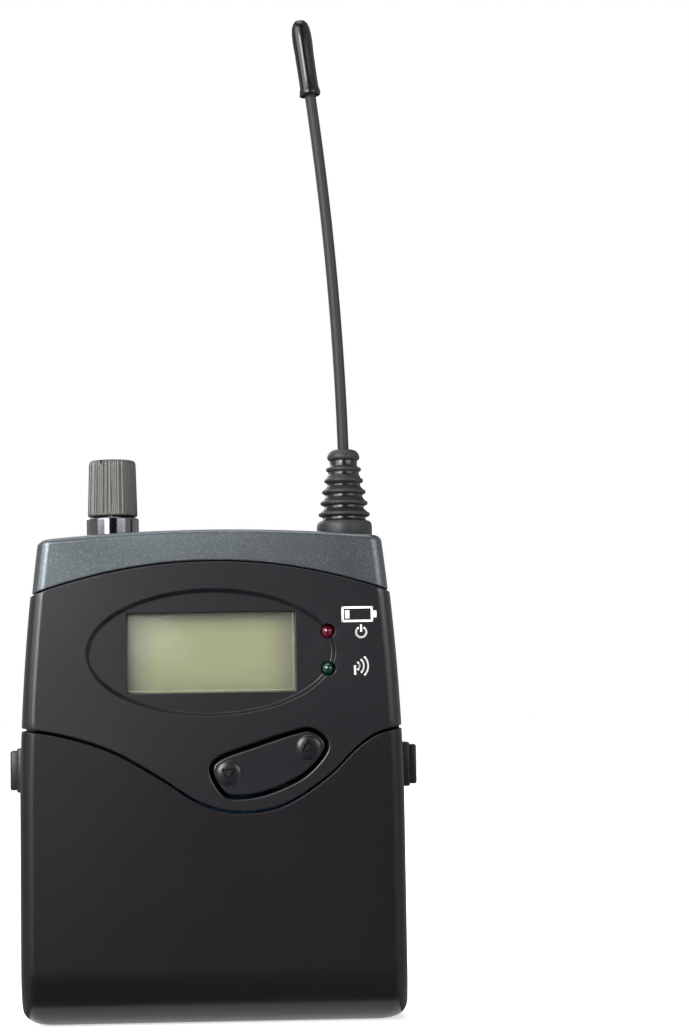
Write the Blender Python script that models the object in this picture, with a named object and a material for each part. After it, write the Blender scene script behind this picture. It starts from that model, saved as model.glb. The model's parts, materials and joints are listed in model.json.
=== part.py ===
"""Belt-pack wireless monitor receiver, modelled as an assembly of separate pieces.

All dimensions are in millimetres and the objects are made in metres.
+Z runs up to the antenna, the display faces -Y and +X is to the right of the display.
The origin is the centre of the flat bottom face, at the middle of the casing's depth and width.
"""
import math

import bmesh
import bpy
from mathutils import Matrix, Vector

MM = 0.001

# Casing
HALF_WIDTH = 31.45
HALF_DEPTH = 12.0
FLANK_START = 34.0
FLANK_RADIUS = 360.0
CASE_TOP = 84.0
BOTTOM_FILLET = 9.5
BACK_FILLET = 3.0
FOOT_CORNER = 3.5
FRONT_EDGE = 2.4
BACK_EDGE = 3.0
WALL = 1.7
FRONT_WALL = 2.2
SPLIT_Y = -2.35
SPLIT_GAP = 0.15
SEAM_GAP = 0.2
FIT_GAP = 0.3

# Top cap
CAP_INSET = 0.25
CAP_ROOF = 1.8
CROWN_Z = 81.1
CROWN_RADIUS = 330.0
CAP_ARC_Z = 75.95
CAP_ARC_RADIUS = 91.0

# Seam between the front shell and the battery cover, (x, z) from left to right
SEAM = [
    (-40.0, 49.6), (-30.0, 48.6), (-22.6, 47.2), (-15.3, 44.6), (-8.0, 40.3), (-3.2, 37.0), (1.0, 35.2),
    (5.0, 34.7), (9.5, 35.2), (13.6, 37.0), (18.9, 40.8), (23.9, 45.6), (28.8, 47.9), (40.0, 49.6),
]

# Display
OVAL = (0.0, 60.8, 20.4, 10.4)
OVAL_DEPTH = 0.9
WINDOW = (27.7, 13.1)
LED_RED = (19.2, 64.0)
LED_GREEN = (19.2, 57.9)
LED_RADIUS = 1.1

# Rocker key, (x, z) round the opening
ROCKER_OPENING = [
    (-0.4, 41.2), (0.9, 43.7), (7.0, 45.9), (13.5, 47.9), (16.4, 48.2), (18.8, 46.4), (18.6, 43.9),
    (15.0, 40.2), (9.3, 37.6), (4.7, 36.8), (1.7, 37.5),
]
ROCKER_GAP = 0.65
ROCKER_PIVOT = Vector((9.2, -9.0, 41.9))
ROCKER_LEAN = math.radians(16.0)
KEY_DOWN = (2.7, 41.1)
KEY_UP = (15.8, 45.1)

# Battery bay
CELL_RADIUS = 7.15
CELL_LENGTH = 50.5
CELL_Y = 0.8
CELL_Z = (15.9, 30.9)
TRAY_HALF = 28.6
TRAY_PLATE = 1.0
HINGE = Vector((0.0, -7.0, 5.0))
COVER_LOBE = 5.6
HINGE_PIN = 0.75

# Side catches
CATCH_Z = (38.1, 45.5)
CATCH_Y = (-0.3, 5.1)
CATCH_BLOCK = 32.95
CATCH_REACH = 34.1

# Fasteners, (x, z)
CASE_SCREWS = [(-25.4, 66.5), (25.4, 66.5), (-25.4, 53.0), (25.4, 53.0)]
BOARD_SCREWS = [(-20.0, 70.5), (20.0, 70.5)]
BOARD_POSTS = [(-20.0, 50.5), (20.4, 51.0)]
TRAY_SCREWS = [(-14.0, 23.4), (14.0, 23.4)]

# Controls on the top, all on one line across the casing
CONTROL_Y = 1.5
KNOB_X = -16.7
KNOB_SEAT_Z = 80.3
JACK_X = 3.0
JACK_SEAT_Z = 80.4
ANTENNA_X = 22.65
ANTENNA_SEAT_Z = 79.8

# Antenna
WHIP_RADIUS = 0.95
WHIP_LEAN = 0.0225
WHIP_BOW = 0.00088
BOOT_TOP = 95.3
TIP_BASE = 156.8
TIP_TOP = 170.2

# Circuit board
BOARD_FRONT = -4.0
BOARD_BACK = -2.6
BOARD_HALF = 22.3
BOARD_Z = (39.4, 77.0)

# Belt clip
CLIP_WIRE = 1.0
CLIP_HALF = 14.0
CLIP_PIVOT = Vector((0.0, 14.2, 63.0))
CLIP_STANDOFF = 17.7


# ---------------------------------------------------------------- materials

def material(name, colour, roughness, metallic=0.0, alpha=1.0):
    """A Principled material of one colour."""
    found = bpy.data.materials.new(name)
    found.use_nodes = True
    shader = found.node_tree.nodes["Principled BSDF"]
    shader.inputs["Base Color"].default_value = (*colour, 1.0)
    shader.inputs["Roughness"].default_value = roughness
    shader.inputs["Metallic"].default_value = metallic
    shader.inputs["Alpha"].default_value = alpha
    found.diffuse_color = (*colour, alpha)
    return found


# ---------------------------------------------------------------- solids

def add_object(name, bm, origin=(0.0, 0.0, 0.0)):
    """An object from a mesh in millimetres, with its own origin at the given point."""
    bmesh.ops.recalc_face_normals(bm, faces=bm.faces)
    bmesh.ops.translate(bm, vec=-Vector(origin), verts=bm.verts)
    bmesh.ops.scale(bm, vec=(MM, MM, MM), verts=bm.verts)
    mesh = bpy.data.meshes.new(name)
    bm.to_mesh(mesh)
    bm.free()
    made = bpy.data.objects.new(name, mesh)
    made.location = Vector(origin) * MM
    bpy.context.collection.objects.link(made)
    return made


def piece(name, bm, look, origin=(0.0, 0.0, 0.0), smooth=None):
    """A visible sub-part; smooth is the angle in degrees below which edges are shaded round."""
    made = add_object(name, bm, origin)
    made.data.materials.append(look)
    if smooth:
        made.data.shade_smooth()
        made.data.set_sharp_from_angle(angle=math.radians(smooth))
    return made


def hidden(name, bm):
    """A tool solid that only shapes other solids."""
    tool = add_object(f"tool_{name}", bm)
    tool.hide_render = True
    tool.display_type = "WIRE"
    return tool


def shape(target, operation, tool):
    """Shape the target with a tool solid."""
    change = target.modifiers.new(tool.name, "BOOLEAN")
    change.operation = operation
    change.solver = "EXACT"
    change.object = tool


def cut(target, name, bm):
    shape(target, "DIFFERENCE", hidden(name, bm))


def keep(target, name, bm):
    shape(target, "INTERSECT", hidden(name, bm))


def join(target, name, bm):
    shape(target, "UNION", hidden(name, bm))


def together(*solids):
    """One mesh that holds several solids which don't touch each other."""
    whole = bmesh.new()
    for solid in solids:
        mesh = bpy.data.meshes.new("scratch")
        solid.to_mesh(mesh)
        solid.free()
        whole.from_mesh(mesh)
        bpy.data.meshes.remove(mesh)
    return whole


def box(low, high, bevel=0.0):
    """A box between two corners."""
    bm = bmesh.new()
    size = Vector(high) - Vector(low)
    middle = (Vector(high) + Vector(low)) / 2
    bmesh.ops.create_cube(bm, size=1.0)
    bmesh.ops.scale(bm, vec=size, verts=bm.verts)
    bmesh.ops.translate(bm, vec=middle, verts=bm.verts)
    if bevel:
        bmesh.ops.bevel(bm, geom=bm.edges[:], offset=bevel, segments=1, affect="EDGES")
    return bm


def skin(rings):
    """A closed surface through rings of the same number of points."""
    bm = bmesh.new()
    loops = [[bm.verts.new(point) for point in ring] for ring in rings]
    for low, high in zip(loops, loops[1:]):
        for i in range(len(low)):
            j = (i + 1) % len(low)
            bm.faces.new((low[i], low[j], high[j], high[i]))
    bm.faces.new(loops[0][::-1])
    bm.faces.new(loops[-1])
    return bm


def prism_y(outline, low, high):
    """A solid with an (x, z) outline between two depths."""
    return skin([[(x, y, z) for x, z in outline] for y in (low, high)])


def prism_x(outline, low, high):
    """A solid with a (y, z) outline between two sides."""
    return skin([[(x, y, z) for y, z in outline] for x in (low, high)])


def turned(profile, base=(0.0, 0.0, 0.0), along=(0.0, 0.0, 1.0), sides=16):
    """A solid of revolution from (radius, height) pairs, whose profile closes on itself."""
    frame = Vector(along).to_track_quat("Z", "Y").to_matrix().to_4x4()
    frame = Matrix.Translation(Vector(base)) @ frame
    turn = 2 * math.pi / sides
    bm = bmesh.new()
    rings = []
    for radius, height in profile:
        ring = []
        for i in range(sides if radius else 1):
            spot = Vector((radius * math.cos(i * turn), radius * math.sin(i * turn), height))
            ring.append(bm.verts.new(frame @ spot))
        rings.append(ring)
    for low, high in zip(rings, rings[1:] + rings[:1]):
        if len(low) == 1 and len(high) == 1:
            continue
        for i in range(sides):
            j = (i + 1) % sides
            corners = [low[i % len(low)], low[j % len(low)], high[j % len(high)], high[i % len(high)]]
            bm.faces.new(list(dict.fromkeys(corners)))
    return bm


def rod(radius, start, end, sides=16):
    """A plain cylinder between two points."""
    length = (Vector(end) - Vector(start)).length
    profile = [(0.0, 0.0), (radius, 0.0), (radius, length), (0.0, length)]
    return turned(profile, start, Vector(end) - Vector(start), sides)


def bore(radius, start, end, sides=16):
    """A cylinder whose flats, not its corners, lie at the radius, for cutting a clear hole."""
    return rod(radius / math.cos(math.pi / sides), start, end, sides)


def tube(path, radius, sides=8):
    """A round bar along a path of points."""
    points = [Vector(point) for point in path]
    tangent = (points[1] - points[0]).normalized()
    side = tangent.orthogonal().normalized()
    rings = []
    for i, point in enumerate(points):
        ahead = points[min(i + 1, len(points) - 1)] - points[max(i - 1, 0)]
        turn = tangent.rotation_difference(ahead.normalized())
        side.rotate(turn)
        tangent = ahead.normalized()
        across = tangent.cross(side)
        ring = []
        for k in range(sides):
            angle = 2 * math.pi * k / sides
            ring.append(point + radius * (math.cos(angle) * side + math.sin(angle) * across))
        rings.append(ring)
    return skin(rings)


def smooth_through(points, steps, closed=False):
    """Points along a Catmull-Rom curve through the given ones."""
    spots = [Vector(point) for point in points]
    count = len(spots)
    curve = []
    for i in range(count if closed else count - 1):
        if closed:
            a, b, c, d = (spots[(i + k) % count] for k in (-1, 0, 1, 2))
        else:
            a, b, c, d = spots[max(i - 1, 0)], spots[i], spots[i + 1], spots[min(i + 2, count - 1)]
        for step in range(steps):
            t = step / steps
            bend = 2 * b + (c - a) * t + (2 * a - 5 * b + 4 * c - d) * t ** 2
            bend = bend + (3 * b - a - 3 * c + d) * t ** 3
            curve.append(bend / 2)
    if not closed:
        curve.append(spots[-1])
    return curve


def offset_outline(outline, distance):
    """A closed (x, z) outline moved inwards by a distance; the outline runs clockwise."""
    moved = []
    for i, point in enumerate(outline):
        along = outline[(i + 1) % len(outline)] - outline[i - 1]
        inward = Vector((along.y, -along.x)).normalized()
        moved.append(point + inward * distance)
    return moved


def arc(centre, radius, start, end, steps):
    """Points on a circle between two angles in degrees."""
    points = []
    for step in range(steps + 1):
        angle = math.radians(start + (end - start) * step / steps)
        points.append((centre[0] + radius * math.cos(angle), centre[1] + radius * math.sin(angle)))
    return points


def ellipse(x, z, across, up, sides):
    """An elliptical (x, z) outline."""
    turn = 2 * math.pi / sides
    return [(x + across * math.cos(i * turn), z + up * math.sin(i * turn)) for i in range(sides)]


def rectangle(x, z, width, height):
    """A rectangular (x, z) outline about its centre."""
    w, h = width / 2, height / 2
    return [(x - w, z - h), (x + w, z - h), (x + w, z + h), (x - w, z + h)]


# ---------------------------------------------------------------- casing form

def flank(z):
    """Half width of the casing at a height: upright below, curving in towards the top."""
    rise = max(z - FLANK_START, 0.0)
    return HALF_WIDTH - FLANK_RADIUS + math.sqrt(FLANK_RADIUS ** 2 - rise ** 2)


def rounded(radius, below):
    """Reach of a fillet of the given radius at a depth below its centre."""
    return math.sqrt(max(radius ** 2 - max(below, 0.0) ** 2, 0.0))


def section(z, inset, front_inset):
    """The casing's rounded rectangular outline at one height."""
    half = flank(z) - FOOT_CORNER + rounded(FOOT_CORNER - inset, FOOT_CORNER - z)
    front = -HALF_DEPTH + BOTTOM_FILLET - rounded(BOTTOM_FILLET - front_inset, BOTTOM_FILLET - z)
    back = HALF_DEPTH - BACK_FILLET + rounded(BACK_FILLET - inset, BACK_FILLET - z)
    r_front = max(FRONT_EDGE - inset, 0.6)
    r_back = BACK_EDGE - inset
    corners = [
        (half - r_front, front + r_front, r_front, -90),
        (half - r_back, back - r_back, r_back, 0),
        (r_back - half, back - r_back, r_back, 90),
        (r_front - half, front + r_front, r_front, 180),
    ]
    outline = []
    for x, y, radius, start in corners:
        outline += arc((x, y), radius, start, start + 90, 4)
    return [(x, y, z) for x, y in outline]


def casing(inset=0.0, front_inset=None, top=CASE_TOP):
    """The whole casing as one solid, drawn in by an inset."""
    front_inset = inset if front_inset is None else front_inset
    low = max(inset, front_inset)
    radius = BOTTOM_FILLET - low
    heights = [low + radius * (1 - math.cos(math.radians(15 * i))) for i in range(7)]
    heights += [FLANK_START, 46.0, 58.0, 70.0, top]
    return skin([section(z, inset, front_inset) for z in heights])


def seam(shift):
    """The wavy seam as (x, z) points, moved up or down."""
    return [(point.x, point.y + shift) for point in smooth_through(SEAM, 3)]


def cap_arc(shift):
    """The cap's arched lower edge, from right to left."""
    half = math.degrees(math.asin(40.0 / CAP_ARC_RADIUS))
    centre = (0.0, CAP_ARC_Z - CAP_ARC_RADIUS)
    return arc(centre, CAP_ARC_RADIUS + shift, 90 - half, 90 + half, 20)


def crown(drop):
    """The cap's crowned top, from right to left."""
    half = math.degrees(math.asin(40.0 / CROWN_RADIUS))
    centre = (0.0, CROWN_Z - CROWN_RADIUS)
    return arc(centre, CROWN_RADIUS - drop, 90 - half, 90 + half, 16)


def screw_boss(radius, x, z, start, end):
    """A round boss that stands along Y."""
    return rod(radius, (x, start, z), (x, end, z), 12)


# ---------------------------------------------------------------- casing pieces

def make_top_cap(look):
    """Metallic cap that closes the top and carries the knob, the jack and the antenna."""
    cap = piece("top_cap", casing(CAP_INSET), look)
    keep(cap, "cap_form", prism_y(cap_arc(0.0) + crown(0.0)[::-1], -20.0, 20.0))
    hollow = hidden("cap_hollow", casing(CAP_INSET + WALL, top=CASE_TOP + 4.0))
    keep(hollow, "cap_roof", prism_y([(40.0, 40.0), (-40.0, 40.0)] + crown(CAP_ROOF)[::-1], -19.0, 19.0))
    shape(cap, "DIFFERENCE", hollow)
    front = [(-10.5, 78.5), (-10.5, 77.2), (-9.5, 76.2), (-9.5, 73.0), (-8.6, 73.0), (-8.6, 78.5)]
    back = [(10.6, 78.5), (10.6, 77.2), (10.0, 76.2), (10.0, 73.0), (9.1, 73.0), (9.1, 78.5)]
    join(cap, "cap_tongues", together(prism_x(front, -8.0, 8.0), prism_x(back[::-1], -8.0, 8.0)))
    seats = [
        rod(4.5, (KNOB_X, CONTROL_Y, KNOB_SEAT_Z), (KNOB_X, CONTROL_Y, 86.0), 24),
        rod(4.75, (ANTENNA_X, CONTROL_Y, ANTENNA_SEAT_Z), (ANTENNA_X, CONTROL_Y, 86.0), 24),
        rod(3.6, (JACK_X, CONTROL_Y, JACK_SEAT_Z), (JACK_X, CONTROL_Y, 86.0), 24),
    ]
    cut(cap, "cap_seats", together(*seats))
    holes = [
        bore(2.8, (KNOB_X, CONTROL_Y, 76.0), (KNOB_X, CONTROL_Y, 84.0)),
        bore(2.5, (ANTENNA_X, CONTROL_Y, 76.0), (ANTENNA_X, CONTROL_Y, 84.0)),
        bore(2.9, (JACK_X, CONTROL_Y, 76.0), (JACK_X, CONTROL_Y, 84.0)),
    ]
    cut(cap, "cap_holes", together(*holes))


def make_front_shell(look):
    """Upper front of the casing, with the display, the LEDs and the rocker key."""
    shell = piece("front_shell", casing(), look)
    cut(shell, "front_hollow", casing(WALL, FRONT_WALL, CASE_TOP + 4.0))
    edge = seam(SEAM_GAP) + cap_arc(-SEAM_GAP)
    keep(shell, "front_form", prism_y(edge, -20.0, SPLIT_Y))
    wall = -HALF_DEPTH + FRONT_WALL
    pillars = [screw_boss(2.3, x, z, wall - 0.5, SPLIT_Y - 0.1) for x, z in CASE_SCREWS]
    pillars += [screw_boss(2.0, x, z, wall - 0.5, BOARD_FRONT - FIT_GAP) for x, z in BOARD_SCREWS]
    pillars += [screw_boss(1.6, x, z, wall - 0.5, BOARD_FRONT - FIT_GAP) for x, z in BOARD_POSTS]
    join(shell, "front_pillars", together(*pillars))
    join(shell, "rocker_hooks", together(rocker_hook(4.9), rocker_hook(-6.1)))
    axis = rocker_axis()
    cut(shell, "rocker_bores", bore(0.75, ROCKER_PIVOT - 9.0 * axis, ROCKER_PIVOT + 9.0 * axis, 12))
    cut(shell, "oval", prism_y(ellipse(*OVAL, 40), -20.0, -HALF_DEPTH + OVAL_DEPTH))
    opening = [(point.x, point.y) for point in smooth_through(ROCKER_OPENING, 3, closed=True)]
    holes = [prism_y(rectangle(OVAL[0], OVAL[1], *WINDOW), -20.0, -6.0), prism_y(opening, -20.0, -6.0)]
    for x, z in (LED_RED, LED_GREEN):
        holes.append(bore(LED_RADIUS + 0.15, (x, -20.0, z), (x, -6.0, z), 12))
    cut(shell, "front_openings", together(*holes))
    pilots = [bore(1.05, (x, -9.0, z), (x, 0.0, z), 10) for x, z in CASE_SCREWS]
    pilots += [bore(0.8, (x, -8.6, z), (x, 0.0, z), 10) for x, z in BOARD_SCREWS]
    cut(shell, "front_pilots", together(*pilots))


def rocker_axis():
    """Direction of the rocker's pivot, square to the line through its two buttons."""
    return Vector((-math.sin(ROCKER_LEAN), 0.0, math.cos(ROCKER_LEAN)))


def rocker_hook(reach):
    """A plate behind the front wall that holds one end of the rocker's trunnion."""
    bm = box((-1.4, -1.3, 0.0), (1.4, 1.3, 0.9))
    turn = Matrix.Rotation(-ROCKER_LEAN, 4, "Y")
    bmesh.ops.transform(bm, matrix=turn, verts=bm.verts)
    bmesh.ops.translate(bm, vec=ROCKER_PIVOT + rocker_axis() * reach, verts=bm.verts)
    return bm


def make_back_shell(look):
    """Back of the casing: screw bosses, catch slots, spring seats and belt-clip lugs."""
    shell = piece("back_shell", casing(), look)
    cut(shell, "back_hollow", casing(WALL, top=CASE_TOP + 4.0))
    reach = COVER_LOBE + FIT_GAP
    back_edge = SPLIT_Y + SPLIT_GAP
    meet = math.degrees(math.acos((back_edge - HINGE.y) / reach))
    lobe = arc((HINGE.y, HINGE.z), reach, meet, -72.0, 14)
    form = [(back_edge, 95.0)] + lobe + [(-5.2, -5.0), (20.0, -5.0), (20.0, 95.0)]
    keep(shell, "back_form", prism_x(form, -40.0, 40.0))
    under_cap = [(-40.0, -4.0), (40.0, -4.0)] + cap_arc(-SEAM_GAP)
    keep(shell, "back_top", prism_y(under_cap, -19.0, 21.0))
    inside = HALF_DEPTH - WALL
    posts = [screw_boss(2.3, x, z, back_edge + 0.2, inside + 0.4) for x, z in CASE_SCREWS]
    posts += [screw_boss(2.2, x, z, inside - 0.9, inside + 0.4) for x, z in TRAY_SCREWS]
    seat = (CATCH_Z[0] + CATCH_Z[1]) / 2
    for side in (-1, 1):
        edges = sorted((side * 22.6, side * 23.6))
        posts.append(box((edges[0], 0.4, seat - 2.2), (edges[1], inside + 0.4, seat + 2.2)))
    join(shell, "back_posts", together(*posts))
    join(shell, "clip_lugs", together(clip_lug(-1), clip_lug(1)))
    y, z = CLIP_PIVOT.y, CLIP_PIVOT.z
    pivots = [bore(CLIP_WIRE + 0.08, (side * 15.0, y, z), (side * 18.9, y, z), 12) for side in (-1, 1)]
    cut(shell, "clip_bores", together(*pivots))
    slots = []
    for side in (-1, 1):
        edges = sorted((side * 27.0, side * 36.0))
        low = (edges[0], CATCH_Y[0] - FIT_GAP, CATCH_Z[0] - FIT_GAP)
        high = (edges[1], CATCH_Y[1] + FIT_GAP, CATCH_Z[1] + FIT_GAP)
        slots.append(box(low, high))
    cut(shell, "catch_slots", together(*slots))
    stepped = [(0.0, -6.0), (1.15, -6.0), (1.15, 8.2), (2.1, 8.2), (2.1, 16.0), (0.0, 16.0)]
    shanks = [turned(stepped, (x, 0.0, z), (0.0, 1.0, 0.0), 12) for x, z in CASE_SCREWS]
    shanks += [bore(0.95, (x, 6.0, z), (x, 11.3, z), 12) for x, z in TRAY_SCREWS]
    cut(shell, "back_shanks", together(*shanks))


def clip_lug(side):
    """A lug on the back that takes one end of the clip's wire."""
    y, z = CLIP_PIVOT.y, CLIP_PIVOT.z
    outline = [(11.0, z - 4.5), (12.6, z - 4.5)] + arc((y, z), 2.3, -40, 90, 6) + [(11.0, z + 3.5)]
    edges = sorted((side * 16.2, side * 20.2))
    return prism_x(outline, *edges)


def make_battery_cover(look):
    """Hinged cover over the lower front, round the bottom edge; its origin is on the hinge."""
    cover = piece("battery_cover", casing(), look)
    cut(cover, "cover_hollow", casing(WALL, top=CASE_TOP + 4.0))
    edge = SPLIT_Y - SPLIT_GAP
    meet = math.degrees(math.acos((edge - HINGE.y) / COVER_LOBE))
    lobe = arc((HINGE.y, HINGE.z), COVER_LOBE, meet, -75.0, 14)
    keep(cover, "cover_form", prism_x([(-20.0, 60.0), (edge, 60.0)] + lobe + [(-20.0, -5.0)], -40.0, 40.0))
    under_seam = [(-40.0, -6.0)] + [(40.0, -6.0)] + seam(-SEAM_GAP)[::-1]
    keep(cover, "cover_top", prism_y(under_seam, -21.0, 19.0))
    ears = []
    keepers = []
    for side in (-1, 1):
        ears.append(rod(2.6, (side * 28.9, HINGE.y, HINGE.z), (side * 30.6, HINGE.y, HINGE.z), 20))
        edges = sorted((side * 29.2, side * 30.4))
        keepers.append(box((edges[0], -6.4, 40.2), (edges[1], -4.4, 43.8)))
    join(cover, "cover_ears", together(*ears))
    join(cover, "cover_keepers", together(*keepers))
    holes = [
        bore(HINGE_PIN + 0.1, (side * 28.0, HINGE.y, HINGE.z), (side * 30.5, HINGE.y, HINGE.z))
        for side in (-1, 1)
    ]
    cut(cover, "cover_bores", together(*holes))
    move_origin(cover, HINGE)


def move_origin(made, origin):
    """Put an object's own origin at a point in millimetres and leave its mesh where it is."""
    shift = Vector(origin) * MM - made.location
    made.data.transform(Matrix.Translation(-shift))
    made.location = Vector(origin) * MM


def make_hinge_pins(look):
    """Two steel pins, held in the tray's arms, that the cover's ears turn on."""
    for name, side in (("hinge_pin_left", -1), ("hinge_pin_right", 1)):
        start = (side * 26.8, HINGE.y, HINGE.z)
        piece(name, rod(HINGE_PIN, start, (side * 30.2, HINGE.y, HINGE.z)), look, smooth=40)


def make_catches(look, spring_look):
    """Side catches: a thumb pad outside, a flange and a finger inside, and a return spring each."""
    seat = (CATCH_Z[0] + CATCH_Z[1]) / 2
    for name, side in (("left", -1), ("right", 1)):
        edges = sorted((side * 29.9, side * CATCH_BLOCK))
        body = box((edges[0], CATCH_Y[0], CATCH_Z[0]), (edges[1], CATCH_Y[1], CATCH_Z[1]), 0.25)
        catch = piece(f"release_catch_{name}", body, look)
        pad = sorted((side * 32.0, side * CATCH_REACH))
        low = (pad[0], CATCH_Y[0] + 0.35, CATCH_Z[0] + 0.4)
        high = (pad[1], CATCH_Y[1] - 0.35, CATCH_Z[1] - 0.4)
        thumb = box(low, high, 0.35)
        join(catch, f"thumb_pad_{name}", thumb)
        neck = sorted((side * 28.9, side * 30.3))
        low = (neck[0], CATCH_Y[0] + 0.3, 39.7)
        high = (neck[1], CATCH_Y[1] - 0.3, 45.1)
        join(catch, f"catch_neck_{name}", box(low, high))
        flange = sorted((side * 27.6, side * 29.1))
        join(catch, f"catch_flange_{name}", box((flange[0], -1.2, 39.4), (flange[1], 6.2, 46.2)))
        finger = sorted((side * 27.8, side * 28.8))
        join(catch, f"catch_finger_{name}", box((finger[0], -6.6, 40.4), (finger[1], -0.8, 43.6)))
        coil = []
        turns = 4
        per_turn = 8
        for i in range(turns * per_turn + 1):
            angle = 2 * math.pi * i / per_turn
            x = side * (24.1 + 2.9 * i / (turns * per_turn))
            coil.append((x, 2.4 + 1.6 * math.cos(angle), seat + 1.6 * math.sin(angle)))
        piece(f"catch_spring_{name}", tube(coil, 0.22, 4), spring_look, smooth=60)


# ---------------------------------------------------------------- battery bay

def make_battery_tray(look):
    """Open tray for two cells across the casing, with an arm at each end for the cover's hinge."""
    channel = [
        (-1.4, 7.8), (9.1, 7.8), (9.1, 39.0), (-5.8, 39.0), (-5.8, 38.25), (8.3, 38.25), (8.3, 25.9),
        (5.2, 23.4), (8.3, 20.9), (8.3, 8.6), (-1.4, 8.6),
    ]
    inner = TRAY_HALF - TRAY_PLATE
    tray = piece("battery_tray", prism_x(channel, -inner - 0.2, inner + 0.2), look)
    hinge_end = arc((HINGE.y, HINGE.z), 1.3, 180, 360, 8)
    notch = arc((HINGE.y, HINGE.z), COVER_LOBE + 0.5, 78, 28, 3)
    body = [(-1.6, 7.7), (9.2, 7.7), (9.2, 39.1), (-6.5, 39.1), (-8.3, 14.0)]
    plate = hinge_end + notch + body
    ends = [prism_x(plate, *sorted((side * inner, side * TRAY_HALF))) for side in (-1, 1)]
    join(tray, "tray_ends", together(*ends))
    holes = [
        bore(HINGE_PIN + 0.08, (side * 26.0, HINGE.y, HINGE.z), (side * 30.0, HINGE.y, HINGE.z), 12)
        for side in (-1, 1)
    ]
    holes += [bore(1.75, (x, 3.0, z), (x, 6.9, z), 14) for x, z in TRAY_SCREWS]
    cut(tray, "tray_bores", together(*holes))
    shanks = [bore(1.0, (x, 5.0, z), (x, 12.0, z), 12) for x, z in TRAY_SCREWS]
    cut(tray, "tray_shanks", together(*shanks))


def make_cells(look, steel):
    """Two AA cells lying opposite ways, each between a spring and a contact button."""
    half = CELL_LENGTH / 2
    nub = 1.0
    for name, z, way in (("lower", CELL_Z[0], 1), ("upper", CELL_Z[1], -1)):
        shoulder = half - nub
        profile = [
            (0.0, -half), (CELL_RADIUS - 0.5, -half), (CELL_RADIUS, -half + 0.5),
            (CELL_RADIUS, shoulder - 0.5), (CELL_RADIUS - 0.5, shoulder),
            (2.7, shoulder), (2.7, half), (0.0, half),
        ]
        piece(f"battery_cell_{name}", turned(profile, (0.0, CELL_Y, z), (way, 0, 0), 20), look, smooth=40)
        button = [(0.0, 0.0), (1.9, 0.0), (2.2, 1.3), (4.2, 1.3), (4.2, 1.7), (0.0, 1.7)]
        base = (way * (half + 0.3), CELL_Y, z)
        piece(f"contact_button_{name}", turned(button, base, (way, 0, 0), 16), steel, smooth=40)
        coil = []
        turns = 3
        per_turn = 9
        for i in range(turns * per_turn + 1):
            part = i / (turns * per_turn)
            angle = 2 * math.pi * i / per_turn
            radius = 1.6 + 2.2 * part
            x = -way * (half + 0.62 + 1.1 * part)
            coil.append((x, CELL_Y + radius * math.cos(angle), z + radius * math.sin(angle)))
        piece(f"contact_spring_{name}", tube(coil, 0.28, 4), steel, smooth=60)


# ---------------------------------------------------------------- display and lamps

def make_display(clear, glass, dark, light):
    """Snap-in window, display glass, its frame and the backlight slab behind it."""
    x, z = OVAL[0], OVAL[1]
    width, height = WINDOW
    wall = -HALF_DEPTH + FRONT_WALL
    window = piece("lcd_window", prism_y(rectangle(x, z, width - 0.5, height - 0.5), -10.8, -9.3), clear)
    join(window, "window_flange", prism_y(rectangle(x, z, width + 3.0, height + 3.0), wall + FIT_GAP, -8.9))
    piece("lcd_glass", box((x - 15.6, -8.5, z - 8.2), (x + 15.6, -6.7, z + 8.2), 0.1), glass)
    outer = box((x - 17.0, -8.5, z - 9.5), (x + 17.0, BOARD_FRONT - FIT_GAP, z + 9.5))
    frame = piece("lcd_frame", outer, dark)
    cut(frame, "frame_pocket", box((x - 15.9, -9.5, z - 8.5), (x + 15.9, -3.0, z + 8.5)))
    piece("lcd_backlight", box((x - 15.5, -6.4, z - 8.1), (x + 15.5, -4.6, z + 8.1), 0.2), light)


def make_led(name, spot, look):
    """A small domed lamp that looks out at the edge of the oval."""
    x, z = spot
    dome = [(0.0, 0.0)]
    for angle in (30, 60, 90):
        tilt = math.radians(angle)
        dome.append((LED_RADIUS * math.sin(tilt), LED_RADIUS * (1 - math.cos(tilt))))
    body = dome + [(LED_RADIUS, 2.6), (1.45, 2.6), (1.45, 3.6), (0.4, 3.6), (0.4, 7.3), (0.0, 7.3)]
    piece(name, turned(body, (x, -11.7, z), (0, 1, 0), 12), look, smooth=50)


# ---------------------------------------------------------------- rocker key and switches

def make_rocker(look):
    """Two-way key that tilts on a trunnion; its origin is on the pivot."""
    opening = smooth_through(ROCKER_OPENING, 3, closed=True)
    plate = [(point.x, point.y) for point in offset_outline(opening, ROCKER_GAP)]
    key = piece("rocker_key", prism_y(plate, -11.85, -10.5), look)
    raised = []
    stems = []
    for x, z in (KEY_DOWN, KEY_UP):
        profile = [(0.0, 0.0), (1.5, 0.0), (2.1, 0.35), (2.1, 0.9), (0.0, 0.9)]
        raised.append(turned(profile, (x, -12.25, z), (0, 1, 0), 20))
        stems.append(rod(0.8, (x, -10.9, z), (x, -8.3, z), 10))
    join(key, "key_buttons", together(*raised))
    join(key, "key_stems", together(*stems))
    axis = rocker_axis()
    join(key, "key_trunnion", rod(0.6, ROCKER_PIVOT - 6.6 * axis, ROCKER_PIVOT + 6.3 * axis, 10))
    web = box((-0.7, -1.8, -3.6), (0.7, 0.2, 3.5))
    bmesh.ops.transform(web, matrix=Matrix.Rotation(-ROCKER_LEAN, 4, "Y"), verts=web.verts)
    bmesh.ops.translate(web, vec=ROCKER_PIVOT, verts=web.verts)
    join(key, "key_web", web)
    move_origin(key, ROCKER_PIVOT)


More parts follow.
